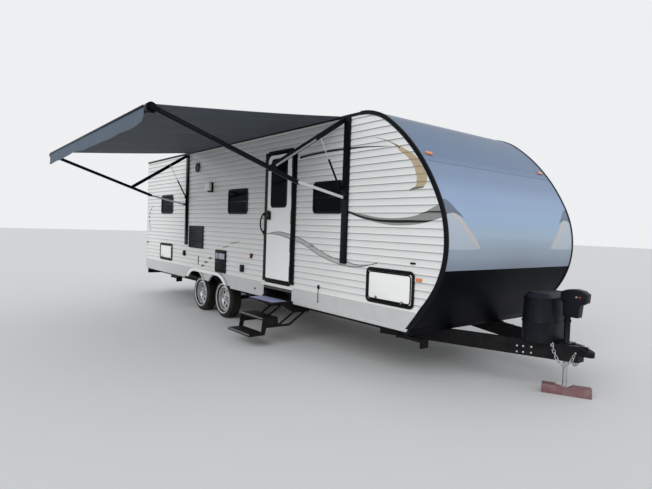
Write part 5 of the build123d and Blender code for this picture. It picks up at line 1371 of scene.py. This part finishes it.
# %% [markdown]
# A road tyre is one outline turned about its axle: tread with grooves, shoulders, a bulging wall
# with a thin rib, and a bead that meets the rim. Every third step of the shoulders is pressed in,
# which gives the blocks at the edge of the tread.

# %% Tyres
TYRE_Y = 1.0175
AXLE_Z = 0.324
WHEEL_XS = {"front": -5.275, "rear": -6.150}
TYRE_STEPS = 84
SHOULDER_RADIUS = 0.300
SHOULDER_BAND = (0.058, 0.092)
TYRE_OUTLINE = (
    (0.1925, 0.0665), (0.2010, 0.0700), (0.2120, 0.0762), (0.2250, 0.0900), (0.2420, 0.0985),
    (0.2570, 0.1015), (0.2700, 0.1008), (0.2820, 0.0978), (0.2840, 0.0990), (0.2870, 0.0985),
    (0.2885, 0.0955), (0.2990, 0.0910), (0.3100, 0.0850), (0.3185, 0.0760), (0.3215, 0.0640),
    (0.3222, 0.0560), (0.3150, 0.0550), (0.3150, 0.0480), (0.3230, 0.0470), (0.3236, 0.0225),
    (0.3160, 0.0215), (0.3160, 0.0140), (0.3238, 0.0130),
)
TYRE_PATH = list(TYRE_OUTLINE) + [(radius, -y) for radius, y in reversed(TYRE_OUTLINE)]


def tyre(name, x, side):
    """One tyre turned about its axle, with pressed-in shoulders."""
    outline = [(radius, side * TYRE_Y + y) for radius, y in TYRE_PATH]
    outline.append(outline[0])
    piece = lathe(name, outline, (x, AXLE_Z), TYRE_STEPS)

    def block_gap(centre, normal):
        """True for every third face of the two shoulders."""
        radius = ((centre.x - x) ** 2 + (centre.z - AXLE_Z) ** 2) ** 0.5
        out = abs(centre.y - side * TYRE_Y)
        step = int((atan2(centre.z - AXLE_Z, centre.x - x) / (2 * pi) + 0.5) * TYRE_STEPS)
        on_shoulder = radius > SHOULDER_RADIUS and SHOULDER_BAND[0] < out < SHOULDER_BAND[1]
        return on_shoulder and step % 3 == 0

    edit(piece, "FACE", block_gap)
    bpy.ops.mesh.extrude_region_shrink_fatten(TRANSFORM_OT_shrink_fatten={"value": -0.005})
    rest()
    return piece


for end, x in WHEEL_XS.items():
    for side, tag in SIDES:
        spot = end + "_" + tag
        piece = tyre("tyre_" + spot + "_form", x, side)
        dress(piece, RUBBER, "wheel_" + spot, "tyre_rubber", angle=32.0)
        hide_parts("tyre_" + spot)
print("Tyre faces:", len(piece.data.polygons))

# %% [markdown]
# The wheel is bright, and what lies behind its windows is dark brake drum. A softened copy of the
# construction's wheel gets a second, dark material on the faces behind the disc, then five nuts in
# a circle, a bright ring turned about the axle, and a cap on the hub. The bright ring lies on the
# tyre's wall and is a painted highlight, the shine of that wall made as a silver band.

# %% Wheels, nuts and caps
DRUM = finish(
    "brake drum", (0.030, 0.028, 0.027), 0.6, shade=0.3, scale=30.0, bump=0.3, metallic=0.4, mirror=0.25
)
TYRE_WALL_HIGHLIGHT = finish(
    "wheel trim ring", (0.50, 0.51, 0.53), 0.3, shade=0.15, scale=8.0, bump=0.05, metallic=0.55, dusty=0.3
)
# A painted highlight: a bright band on the tyre's wall stands for the shine of that wall.
HIGHLIGHT_RING_OUTLINE = (
    (0.2290, 0.0905), (0.2310, 0.1005), (0.2370, 0.1050), (0.2460, 0.1062),
    (0.2520, 0.1045), (0.2545, 0.1000), (0.2545, 0.0960), (0.2290, 0.0905),
)
DISC_OUT = 0.025
DISC_RADIUS = 0.186
HUB_OUT = 0.062
NUT_CIRCLE = 0.060
for end, x in WHEEL_XS.items():
    for side, tag in SIDES:
        spot = end + "_" + tag
        wheel = softened("rim_" + spot, 0.0016, RIM, "wheel_" + spot, "rim_silver")
        wheel.data.materials.append(DRUM)
        for face in wheel.data.polygons:
            out = side * face.center.y - TYRE_Y
            radius = ((face.center.x - x) ** 2 + (face.center.z - AXLE_Z) ** 2) ** 0.5
            if out < DISC_OUT - 0.008 and radius < DISC_RADIUS:
                face.material_index = 1
        for number in range(5):
            turn = radians(90 + 72 * number)
            y = side * (TYRE_Y + DISC_OUT + 0.007)
            place = (x + NUT_CIRCLE * cos(turn), y, AXLE_Z + NUT_CIRCLE * sin(turn))
            nut = rod("wheel_nut_" + spot + "_" + str(number), 0.0105, 0.014, place, 6)
            finished(nut, 0.0018, ZINC, "wheel_" + spot, "rim_silver")
        # The painted highlight ring, turned about the axle on the tyre's wall.
        ring_outline = [(radius, side * (TYRE_Y + y)) for radius, y in HIGHLIGHT_RING_OUTLINE]
        highlight_ring = lathe("wheel_trim_" + spot, ring_outline, (x, AXLE_Z), 72)
        dress(highlight_ring, TYRE_WALL_HIGHLIGHT, "wheel_" + spot, "rim_silver", angle=40.0)
        hub_place = (x, side * (TYRE_Y + HUB_OUT + 0.006), AXLE_Z)
        hub_cap = rod("hub_cap_" + spot, 0.034, 0.016, hub_place, 48)
        dish(hub_cap, lambda centre, normal: normal.y * side > 0.9, 0.010, (0.0, side * 0.004, 0.0))
        finished(hub_cap, 0.003, RIM, "wheel_" + spot, "rim_silver", 3)
print("Wheels dressed")

# %% [markdown]
# One bright moulding runs over both wheels of a side: up round the rear arch, level between the
# two, and down round the front arch to the skirt's foot. It is a plate with that outline, less the
# same outline drawn a band's width smaller, and its edges are rounded.

# %% Arch mouldings
MOULDING = finish("arch moulding", (0.88, 0.89, 0.90), 0.3, shade=0.05, bump=0.02, coat=0.2, dusty=0.2)
MOULDING_Y = 1.2380
MOULDING_OUTER = 0.446
MOULDING_BAND = 0.054
MOULDING_THICK = 0.020


def over_wheels(radius):
    """Outline that passes over both wheels at a distance from their axles."""
    points = []
    for x, start, stop in ((WHEEL_XS["front"], 0, 90), (WHEEL_XS["rear"], 90, 180)):
        for step in range(25):
            turn = radians(start + (stop - start) * step / 24)
            points.append((x + radius * cos(turn), AXLE_Z + radius * sin(turn)))
    return points


for side, tag in SIDES:
    places = [(x, side * MOULDING_Y, z) for x, z in over_wheels(MOULDING_OUTER)]
    outer = prism("arch_moulding_" + tag, places, (0.0, side * MOULDING_THICK, 0.0))
    places = [(x, side * 1.20, z) for x, z in over_wheels(MOULDING_OUTER - MOULDING_BAND)]
    carve(outer, prism("inner", places, (0.0, side * 0.08, 0.0)))
    low_y, high_y = sorted((side * 1.19, side * 1.29))
    carve(outer, block("keep", (-6.7, low_y, SKIRT_FOOT_Z), (-4.7, high_y, 0.9)), "INTERSECT")
    soften(outer, 0.008, 3)
    dress(outer, MOULDING, "root", "skirt_grey", angle=40.0)
print("Arch mouldings ready")

# %% [markdown]
# The entry door sits in a black frame with a wide strip over its hinges and a pale sill below. Its
# window has a dark surround, and the latch is a paddle in a plate with a lock above it. The frames
# are a merged copy with the hatches' hinge barrels cut off, and the leaf is one with its window hole
# filled, because the pane lies on the leaf.

# %% Entry door details
LEAF_RECT = (-3.772, 0.814, -3.131, 2.580)
DOOR_WINDOW_RECT = (-3.664, 1.828, -3.258, 2.506)
LEAF_Y = -WALL_HALF - DOOR_FACE
frame_form = copy_of_node("door_frames", "door_frames_form")
for node in ("baggage_door_right", "baggage_door_left", "storage_door"):
    low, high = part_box(node)
    side = RIGHT if low.y < 0 else LEFT
    start_y, end_y = sorted((side * (WALL_HALF + DOOR_FACE + 0.0002), side * (WALL_HALF + 0.040)))
    tool_low, tool_high = (low.x - 0.01, start_y, high.z - 0.045), (high.x + 0.01, end_y, high.z + 0.03)
    carve(frame_form, block("barrels", tool_low, tool_high))
finished(frame_form, 0.0015, TRIM)
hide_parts("door_frames")
door_form = copy_of_node("entry_door", "entry_door_form")
glass_low, glass_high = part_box("door_glass")
plug_low = (glass_low.x - 0.006, LEAF_Y + 0.0001, glass_low.z - 0.006)
plug_high = (glass_high.x + 0.006, -1.204, glass_high.z + 0.006)
carve(door_form, block("plug", plug_low, plug_high), "UNION")
dress(door_form, DOOR, "entry_door", "door_white")
door_form.data.materials.append(TRIM)
for face in door_form.data.polygons:
    if face.center.x > LEAF_RECT[2] or face.center.y < LEAF_Y - 0.001:
        face.material_index = 1
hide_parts("entry_door")
seal = panel("door_seal", LEAF_RECT, 0.047, RIGHT, 0.0098, 0.0135)
carve(seal, panel("hole", (-3.752, 0.838, -3.152, 2.100), 0.020, RIGHT, -0.02, 0.03))
carve(seal, panel("hole", (-3.752, 1.700, -3.152, 2.556), 0.100, RIGHT, -0.02, 0.03))
finished(seal, 0.0015, TRIM, "entry_door")
hinge_low, hinge_high = (-3.1530, -WALL_HALF - 0.0128, 0.822), (-3.1095, LEAF_Y + 0.0005, 2.572)
dress(block("door_hinge_leaf", hinge_low, hinge_high, 0.001), TRIM, "entry_door", "trim_black")
PANE_RECT = tuple(v + step for v, step in zip(DOOR_WINDOW_RECT, (0.012, 0.012, -0.012, -0.012)))
pane = panel("door_window_pane", PANE_RECT, 0.046, RIGHT, 0.0095, 0.0125)
dress(pane, GLASS, "entry_door", "glass_dark")
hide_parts("door_glass")
surround = ring("door_window_surround", DOOR_WINDOW_RECT, 0.058, 0.022, RIGHT, 0.0095, 0.0155)
dress(surround, TRIM, "entry_door", "trim_black")
latch = panel("door_latch", (-3.748, 1.660, -3.650, 1.778), 0.014, RIGHT, 0.012, 0.0315)
finished(latch, 0.003, TRIM, "entry_door")
paddle = panel("door_latch_paddle", (-3.738, 1.684, -3.664, 1.726), 0.008, RIGHT, 0.030, 0.0370)
finished(paddle, 0.0025, COVER, "entry_door")
lock = rod("door_lock", 0.013, 0.028, (-3.700, -1.2350, 1.752))
dish(lock, lambda centre, normal: normal.y < -0.9, 0.004, (0.0, 0.0015, 0.0))
finished(lock, 0.0012, ZINC, "entry_door", "rim_silver")
strip = block("door_hinge_cover", (-3.093, -1.2290, 0.800), (-3.052, -1.2188, 2.594))
finished(strip, 0.0025, TRIM)
strip = block("door_latch_side_strip", (-3.834, -1.2270, 0.790), (-3.810, -1.2188, 2.604))
finished(strip, 0.0025, TRIM)
sill = block("door_sill", (-3.838, -1.2440, 0.736), (-3.052, -1.2186, 0.775))
edit(sill, "FACE", lambda centre, normal: normal.z > 0.9)
bpy.ops.transform.resize(value=(1.0, 0.7, 1.0), center_override=(-3.445, -1.2186, 0.775))
rest()
finished(sill, 0.003, WHITE_PLASTIC, "root", "skirt_grey", 3)
print("Door dressed")

# %% [markdown]
# The hatches are plain white doors in black frames. Each leaf has a thin black ring round its edge
# and two thumb latches near its foot, small slanting buttons on a rounded cup.

# %% Hatches
for node, x0, x1, side in (
    ("baggage_door_right", -1.617, -0.998, RIGHT),
    ("baggage_door_left", -1.617, -0.998, LEFT),
    ("storage_door", -7.935, -7.341, RIGHT),
):
    low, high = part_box(node)
    leaf_form = copy_of_node(node, node + "_form")
    start_y, end_y = sorted((side * (WALL_HALF - 0.06), side * (WALL_HALF + DOOR_FACE)))
    keep = block("keep", (x0 - 0.05, start_y, low.z - 0.05), (x1 + 0.05, end_y, high.z + 0.05))
    carve(leaf_form, keep, "INTERSECT")
    finished(leaf_form, 0.0015, DOOR, node, "door_white")
    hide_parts(node)
    leaf_top = max(v.co.z for v in leaf_form.data.vertices)
    leaf_rect = (x0 - 0.001, low.z - 0.001, x1 + 0.001, leaf_top + 0.001)
    edge = ring("leaf_edge_" + node, leaf_rect, 0.040, 0.015, side, 0.0096, 0.0132)
    dress(edge, TRIM, node, "trim_black")
    latches = ((x0 + 0.122, low.z + 0.024, 0.004), (x1 - 0.114, low.z + 0.012, 0.010))
    for number, (x, z, lean) in enumerate(latches):
        spot = node + "_" + str(number)
        cup_rect = (x - 0.017, z - 0.014, x + 0.017, z + 0.014)
        cup = panel("latch_cup_" + spot, cup_rect, 0.009, side, 0.0096, 0.0148)
        finished(cup, 0.0015, TRIM, node)
        y = side * (WALL_HALF + 0.0145)
        corners = (
            (x - 0.010 - lean, y, z - 0.012),
            (x + 0.004 - lean, y, z - 0.014),
            (x + 0.010 + lean, y, z + 0.010),
            (x - 0.004 + lean, y, z + 0.014),
        )
        button = prism("latch_button_" + spot, corners, (0.0, side * 0.0065, 0.0))
        finished(button, 0.0018, ZINC, node)
print("Hatches dressed")

# %% [markdown]
# The service fittings on the door side are dark mouldings. The fridge vent has slats, the water
# heater's door has a paler grille in its top third, and the porch lamp has a white lens. The grab
# handle is a bowed round bar, made as a curve with a bevel and then turned into a mesh.

# %% Side fittings
fittings = copy_of_node("side_fittings", "side_fittings_form")
carve(fittings, block("handle_room", (-3.912, -1.310, 1.435), (-3.850, -WALL_HALF - 0.0002, 1.725)))
finished(fittings, 0.0015, TRIM)
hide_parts("side_fittings")


def tube(name, points, radius):
    """A round bar along a smooth line, made a mesh."""
    curve = bpy.data.curves.new(name, "CURVE")
    curve.dimensions = "3D"
    curve.bevel_depth = radius
    curve.bevel_resolution = 4
    curve.use_fill_caps = True
    spline = curve.splines.new("POLY")
    line = flow(points, 8)
    spline.points.add(len(line) - 1)
    for point, place in zip(spline.points, line):
        point.co = (*place, 1.0)
    piece = bpy.data.objects.new(name, curve)
    bpy.context.scene.collection.objects.link(piece)
    hold(piece)
    bpy.ops.object.convert(target="MESH")
    return close_up(bpy.context.object)


HANDLE_X = -3.840
HANDLE_BOW = (
    (-1.2190, 1.742), (-1.2400, 1.738), (-1.2640, 1.706), (-1.2790, 1.655), (-1.2825, 1.605),
    (-1.2775, 1.555), (-1.2610, 1.510), (-1.2390, 1.484), (-1.2190, 1.480),
)
grab = tube("grab_handle", [(HANDLE_X, y, z) for y, z in HANDLE_BOW], 0.0105)
dress(grab, TRIM, "root", "trim_black", angle=50.0)
for number, z in enumerate((HANDLE_BOW[0][1], HANDLE_BOW[-1][1])):
    foot_rect = (HANDLE_X - 0.022, z - 0.024, HANDLE_X + 0.014, z + 0.024)
    foot = panel("grab_handle_foot_" + str(number), foot_rect, 0.010, RIGHT, 0.0, 0.010)
    finished(foot, 0.0025, TRIM)
GRILLE = finish("painted grille", (0.46, 0.46, 0.54), 0.45, shade=0.12, bump=0.1)
MILKY = lens("porch lens", (0.72, 0.72, 0.69))
for number in range(6):
    x = -5.348 + number * 0.054
    width = 0.020 if number == 1 else 0.044
    slat = block("heater_grille_" + str(number), (x, -1.2355, 1.000), (x + width, -1.2300, 1.092), 0.002)
    dress(slat, GRILLE, "root", "trim_black")
for name, rect, corner, width in (
    ("heater_rim", (-5.372, 0.774, -4.992, 1.150), 0.032, 0.016),
    ("vent_rim", (-6.484, 1.129, -5.875, 1.529), 0.014, 0.018),
):
    dress(ring(name, rect, corner, width, RIGHT, 0.0115, 0.0150), TRIM, "root", "trim_black")
for name, rect, corner, start, stop, width, segments, material, slot in (
    ("heater_foot", (-5.372, 0.774, -4.992, 0.812), 0.006, 0.0, 0.0120, 0.0, 0, TRIM, "trim_black"),
    ("heater_latch", (-5.205, 0.800, -5.160, 0.818), 0.008, 0.0115, 0.0180, 0.002, 2, TRIM, "trim_black"),
    ("porch_lamp_base", (-5.712, 2.116, -5.536, 2.276), 0.016, 0.0, 0.026, 0.003, 2, TRIM, "trim_black"),
    ("porch_lamp_lens", (-5.704, 2.140, -5.548, 2.270), 0.018, 0.022, 0.074, 0.008, 3, MILKY, "lamp_amber"),
    ("outlet_lid", (-4.485, 0.860, -4.401, 0.956), 0.010, 0.022, 0.0300, 0.003, 2, COVER, "trim_black"),
    ("valve_lid", (-4.206, 1.092, -4.172, 1.144), 0.006, 0.016, 0.0210, 0.002, 2, RED, "lamp_red"),
    ("tap_plate", (-2.528, 0.820, -2.492, 0.866), 0.008, 0.0, 0.012, 0.002, 2, TRIM, "trim_black"),
    ("small_lamp", (-1.022, 1.243, -0.956, 1.262), 0.008, 0.0, 0.012, 0.002, 2, TRIM, "trim_black"),
):
    plate = panel(name, rect, corner, RIGHT, start, stop)
    finished(plate, width, material, "root", slot, segments)
for name, x, z, radius, proud, material in (
    ("speaker_flange", -6.169, 2.573, 0.094, 0.0060, WHITE_PLASTIC),
    ("speaker_ring", -6.169, 2.573, 0.082, 0.0230, TRIM),
    ("speaker_mesh", -6.169, 2.573, 0.056, 0.0255, COVER),
    ("round_cap", -6.695, 1.005, 0.050, 0.0220, TRIM),
    ("round_cap_lid", -6.695, 1.005, 0.030, 0.0270, COVER),
    ("skirt_valve", -4.043, 0.646, 0.014, 0.0100, TRIM),
):
    disc = rod(name, radius, proud, (x, -WALL_HALF - proud / 2, z), 40)
    dish(disc, lambda centre, normal: normal.y < -0.9, radius * 0.18, (0.0, 0.0015, 0.0))
    finished(disc, 0.0015, material)
LEAF_FILM = finish("leaf film", (0.105, 0.112, 0.105), 0.42, shade=0.12, bump=0.02)
for number, (x, z) in enumerate(((-5.885, 0.833), (-5.755, 0.905), (-5.590, 0.985))):
    rear, front = (x - 0.082, z - 0.008), (x + 0.082, z + 0.008)
    upper = (rear, (x - 0.030, z + 0.016), (x + 0.045, z + 0.020), front)
    lower = (rear, (x - 0.045, z - 0.020), (x + 0.030, z - 0.016), front)
    film("leaf_" + str(number), upper, lower, LEAF_FILM)
TWIG_UPPER = ((-5.138, 1.200), (-5.017, 1.222), (-4.896, 1.238))
TWIG_LOWER = ((-5.138, 1.188), (-5.017, 1.200), (-4.896, 1.228))
TIP_UPPER = ((-4.882, 1.274), (-4.724, 1.300), (-4.559, 1.318))
TIP_LOWER = ((-4.882, 1.262), (-4.724, 1.282), (-4.559, 1.312))
film("twig", TWIG_UPPER, TWIG_LOWER, FILM_GREY)
film("twig_tip", TIP_UPPER, TIP_LOWER, FILM_GREY)
film("mark", ((-6.098, 0.985), (-6.048, 0.985)), ((-6.092, 0.835), (-6.056, 0.835)), FILM_DARK)
vent_slats = []
for number in range(7):
    z = 1.176 + 0.048 * number
    low, high = (-6.462, -WALL_HALF - 0.0190, z), (-5.897, -WALL_HALF - 0.0150, z + 0.012)
    vent_slats.append(block("slat", low, high, 0.0015, 1))
dress(join("vent_slats", vent_slats), CHANNEL, "root", "trim_black")
print("Side fittings ready")

# %% [markdown]
# Near the rear a bow of small round dots decorates each side. Every dot is film too: the upper half
# of a circle and its mirror image below give the two lines of its outline.

# %% Dots near the rear
DOT_BOW = (-8.385, 1.620, 0.30)
for side, tag in SIDES:
    for number in range(7):
        turn = radians(112 + 19 * number)
        x, z = DOT_BOW[0] + DOT_BOW[2] * cos(turn), DOT_BOW[1] + DOT_BOW[2] * sin(turn)
        size = 0.019 + 0.007 * sin(pi * number / 6)
        turns = [radians(a) for a in (180, 135, 90, 45, 0)]
        upper = [(x + size * cos(a), z + size * sin(a)) for a in turns]
        lower = [(px, 2 * z - pz) for px, pz in upper]
        film("dot_" + tag + str(number), upper, lower, FILM_DARK, side=side)
print("Dots ready")

# %% [markdown]
# Every tread carries a ribbed grip plate. The top one is a pale lavender grey, made brighter with
# painted light against the shade under the door, and the lower two are black with a grey front edge.

# %% Treads
# Painted light: the top tread's lavender grey is raised in brightness to offset the shade it lies in.
TREAD_PALE_LIT = finish("worn tread", (0.36, 0.385, 0.575), 0.5, shade=0.2, scale=30.0, bump=0.5, fine=500.0)
TREAD_EDGE = finish("tread edge", (0.17, 0.17, 0.18), 0.5, shade=0.2, bump=0.2)
for tag, x0, x1, front_y, back_y, top_z, body, material in (
    ("top", -3.757, -3.163, -1.476, -1.236, 0.575, "root", TREAD_PALE_LIT),
    ("middle", -3.748, -3.172, -1.604, -1.388, 0.375, "step_treads", STEP),
    ("low", -3.748, -3.172, -1.794, -1.578, 0.180, "step_treads", STEP),
):
    plate = block("tread_plate_" + tag, (x0, front_y, top_z - 0.0005), (x1, back_y, top_z + 0.0022), 0.001)
    dress(plate, material, body, "step_black")
    ribs = []
    for number in range(7):
        y = front_y + 0.022 + (back_y - front_y - 0.044) * number / 6
        low, high = (x0 + 0.012, y - 0.004, top_z + 0.0020), (x1 - 0.012, y + 0.004, top_z + 0.0042)
        ribs.append(block("rib", low, high, 0.001, 1))
    dress(join("tread_ribs_" + tag, ribs), material, body, "step_black")
    if tag != "top":
        low, high = (x0, front_y - 0.0062, top_z - 0.012), (x1, front_y + 0.004, top_z + 0.0025)
        lip = block("tread_lip_" + tag, low, high, 0.002)
        dress(lip, TREAD_EDGE, body, "step_black")
print("Treads ready")

# %% [markdown]
# On the tongue show bolt heads along the frame, two safety chains, the coupler's latch lever and
# the buttons of the jack. A chain link is modelled once as a stretched ring, and its copies are set
# along a sagging line, every second one turned on its side.

# %% Bolts on the A-frame
RAIL_TIP = (0.130, 0.058)
RAIL_SLOPE = 0.3672
RAIL_NORMAL = (0.3447, 0.9387)
BOLT_PLACES = (
    (-0.401, 0.438), (-0.345, 0.441), (-0.271, 0.445),
    (-0.400, 0.378), (-0.343, 0.381), (-0.272, 0.385),
)
for side, tag in SIDES:
    way = Vector((RAIL_NORMAL[0], side * RAIL_NORMAL[1], 0.0))
    for number, (x, z) in enumerate(BOLT_PLACES):
        face_y = side * (RAIL_TIP[1] + (RAIL_TIP[0] - x) * RAIL_SLOPE)
        place = Vector((x, face_y, z)) + way * 0.005
        turn = way.to_track_quat("Z", "Y").to_euler()
        bolt = rod("frame_bolt_" + tag + "_" + str(number), 0.011, 0.012, place, 6, turn)
        finished(bolt, 0.0015, ZINC, "root", "galvanized")
print("Bolts ready")

# %% Safety chains
rest()
bpy.ops.mesh.primitive_torus_add(
    major_radius=0.0092, minor_radius=0.0029, major_segments=16, minor_segments=8
)
link_shape = bpy.context.object
for way in (1.0, -1.0):
    edit(link_shape, "VERT", lambda place: place.x * way > 0.0)
    slide((way * 0.0060, 0.0, 0.0))
    rest()


def hang_chain(name, points, scale, material=ZINC):
    """A chain of links along a smooth line."""
    line = [Vector(p) for p in flow(points, 12)]
    step = 0.0225 * scale
    links = []
    travelled = 0.0
    wanted = 0.0
    for a, b in zip(line, line[1:]):
        span = (b - a).length
        while span > 0 and wanted <= travelled + span:
            place = a.lerp(b, (wanted - travelled) / span)
            turn = (b - a).to_track_quat("X", "Z").to_matrix().to_4x4()
            copy = link_shape.copy()
            copy.data = link_shape.data.copy()
            bpy.context.scene.collection.objects.link(copy)
            roll = Matrix.Rotation(radians(45 + 90 * (len(links) % 2)), 4, "X")
            copy.matrix_world = Matrix.Translation(place) @ turn @ roll @ Matrix.Scale(scale, 4)
            links.append(settle(copy))
            wanted += step
        travelled += span
    return dress(join(name, links), material, "root", "galvanized", angle=60.0)


CHAIN_PATH = (
    (-0.092, 0.142, 0.498), (-0.075, 0.142, 0.440), (-0.045, 0.138, 0.375), (-0.012, 0.128, 0.325),
    (0.030, 0.112, 0.318), (0.070, 0.092, 0.352), (0.100, 0.078, 0.425),
)
hang_chain("chain_right", [(x, -y, z) for x, y, z in CHAIN_PATH], 1.45)
LEFT_SAG = 0.03
left_path = [(x, y, z - LEFT_SAG if 0.1 < y < 0.14 else z) for x, y, z in CHAIN_PATH]
hang_chain("chain_left", left_path, 1.45)
TAP_PATH = ((-2.510, -1.2285, 0.826), (-2.512, -1.2290, 0.760), (-2.511, -1.2285, 0.672))
hang_chain("tap_chain", TAP_PATH, 0.50, TRIM)
bpy.data.objects.remove(link_shape, do_unlink=True)
finished(rod("tap_chain_end", 0.009, 0.010, (-2.511, -1.2285, 0.660), 20), 0.002, TRIM)
for side, tag in SIDES:
    for number, (x, y, z) in enumerate(((-0.092, 0.142, 0.503), (0.107, 0.069, 0.444))):
        stud = rod("chain_stud_" + tag + str(number), 0.010, 0.024, (x, side * y, z), 16)
        finished(stud, 0.0015, ZINC, "root", "galvanized")
print("Chains ready")

# %% Coupler lever and jack buttons
LEVER_WIDTH = 0.018
LEVER_SHAPE = (
    (0.130, 0.507), (0.130, 0.514), (0.185, 0.516), (0.205, 0.500), (0.200, 0.494), (0.182, 0.508),
)
places = [(x, -LEVER_WIDTH / 2, z) for x, z in LEVER_SHAPE]
lever = prism("coupler_lever", places, (0.0, LEVER_WIDTH, 0.0))
finished(lever, 0.002, ZINC, "root", "galvanized")
for number, (x, z) in enumerate(((0.080, 0.985), (0.112, 0.985))):
    button = rod("jack_button_" + str(number), 0.009, 0.010, (x, -0.0545, z), 24)
    finished(button, 0.002, RED if number else ZINC, slot="cover_black")
COLLAR_SHAPE = ((0.0288, -0.015), (0.034, -0.013), (0.034, 0.013), (0.0288, 0.015), (0.0288, -0.015))
collar = lathe("jack_collar", COLLAR_SHAPE, (0.0, 0.0), 40)
edit(collar)
bpy.ops.transform.rotate(value=pi / 2, orient_axis="X", center_override=(0.0, 0.0, 0.0))
rest()
collar.location = (-0.020, 0.0, 0.735)
settle(collar)
dress(collar, FRAME, "root", "frame_black")
print("Tongue details ready")

# %% [markdown]
# On the roof, the air conditioner's shroud sits on a flange and has intake slots in both sides, and
# the two vents have raised lids on flanges. The camera of the photograph doesn't see them.

# %% Roof details
SHROUD = (-4.700, 0.0, 2.884)
SHROUD_SIDE_Y = 0.350
SHROUD_LEAN = 0.2126
for side, tag in SIDES:
    slots = []
    for number in range(5):
        z = SHROUD[2] + 0.070 + 0.030 * number
        y = side * (SHROUD_SIDE_Y - (z - SHROUD[2]) * SHROUD_LEAN)
        low, high = (SHROUD[0] - 0.30, y - 0.006, z), (SHROUD[0] + 0.30, y + 0.006, z + 0.012)
        slots.append(block("slot", low, high, 0.002, 1))
    dress(join("shroud_slots_" + tag, slots), TRIM, "root", "trim_black")
ROOF_Z = SHROUD[2] - 0.001
FLANGE_HALF = 0.235
LID_HALF = 0.195
LID_FOOT_Z = 2.944
LID_TOP_Z = 2.960
for number, (x, y) in enumerate(((-2.500, 0.0), (-7.100, 0.350))):
    low = (x - FLANGE_HALF, y - FLANGE_HALF, ROOF_Z)
    high = (x + FLANGE_HALF, y + FLANGE_HALF, ROOF_Z + 0.005)
    flange = block("vent_flange_" + str(number), low, high, 0.002)
    dress(flange, WHITE_PLASTIC, "root", "roof_white")
    low, high = (x - LID_HALF, y - LID_HALF, LID_FOOT_Z), (x + LID_HALF, y + LID_HALF, LID_TOP_Z)
    lid = block("vent_lid_" + str(number), low, high)
    dish(lid, lambda centre, normal: normal.z > 0.9, 0.030, (0.0, 0.0, 0.010))
    finished(lid, 0.006, WHITE_PLASTIC, "root", "roof_white", 3)
low = (SHROUD[0] - 0.505, -0.365, ROOF_Z)
high = (SHROUD[0] + 0.505, 0.365, ROOF_Z + 0.007)
dress(block("shroud_flange", low, high, 0.002), WHITE_PLASTIC, "root", "roof_white")
print("Roof details ready")

# %% [markdown]
# The floor is a wide pale plane that only catches shadows. It isn't part of the caravan.

# %% Floor
rest()
bpy.ops.mesh.primitive_plane_add(size=160.0, location=(0.0, 0.0, 0.0))
ground = bpy.context.object
ground.name = "studio_floor"
ground.data.materials.append(finish("studio floor", (0.74, 0.745, 0.75), 0.9, shade=0.01, bump=0.0))
print("Floor laid")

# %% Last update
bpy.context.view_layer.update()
rest()
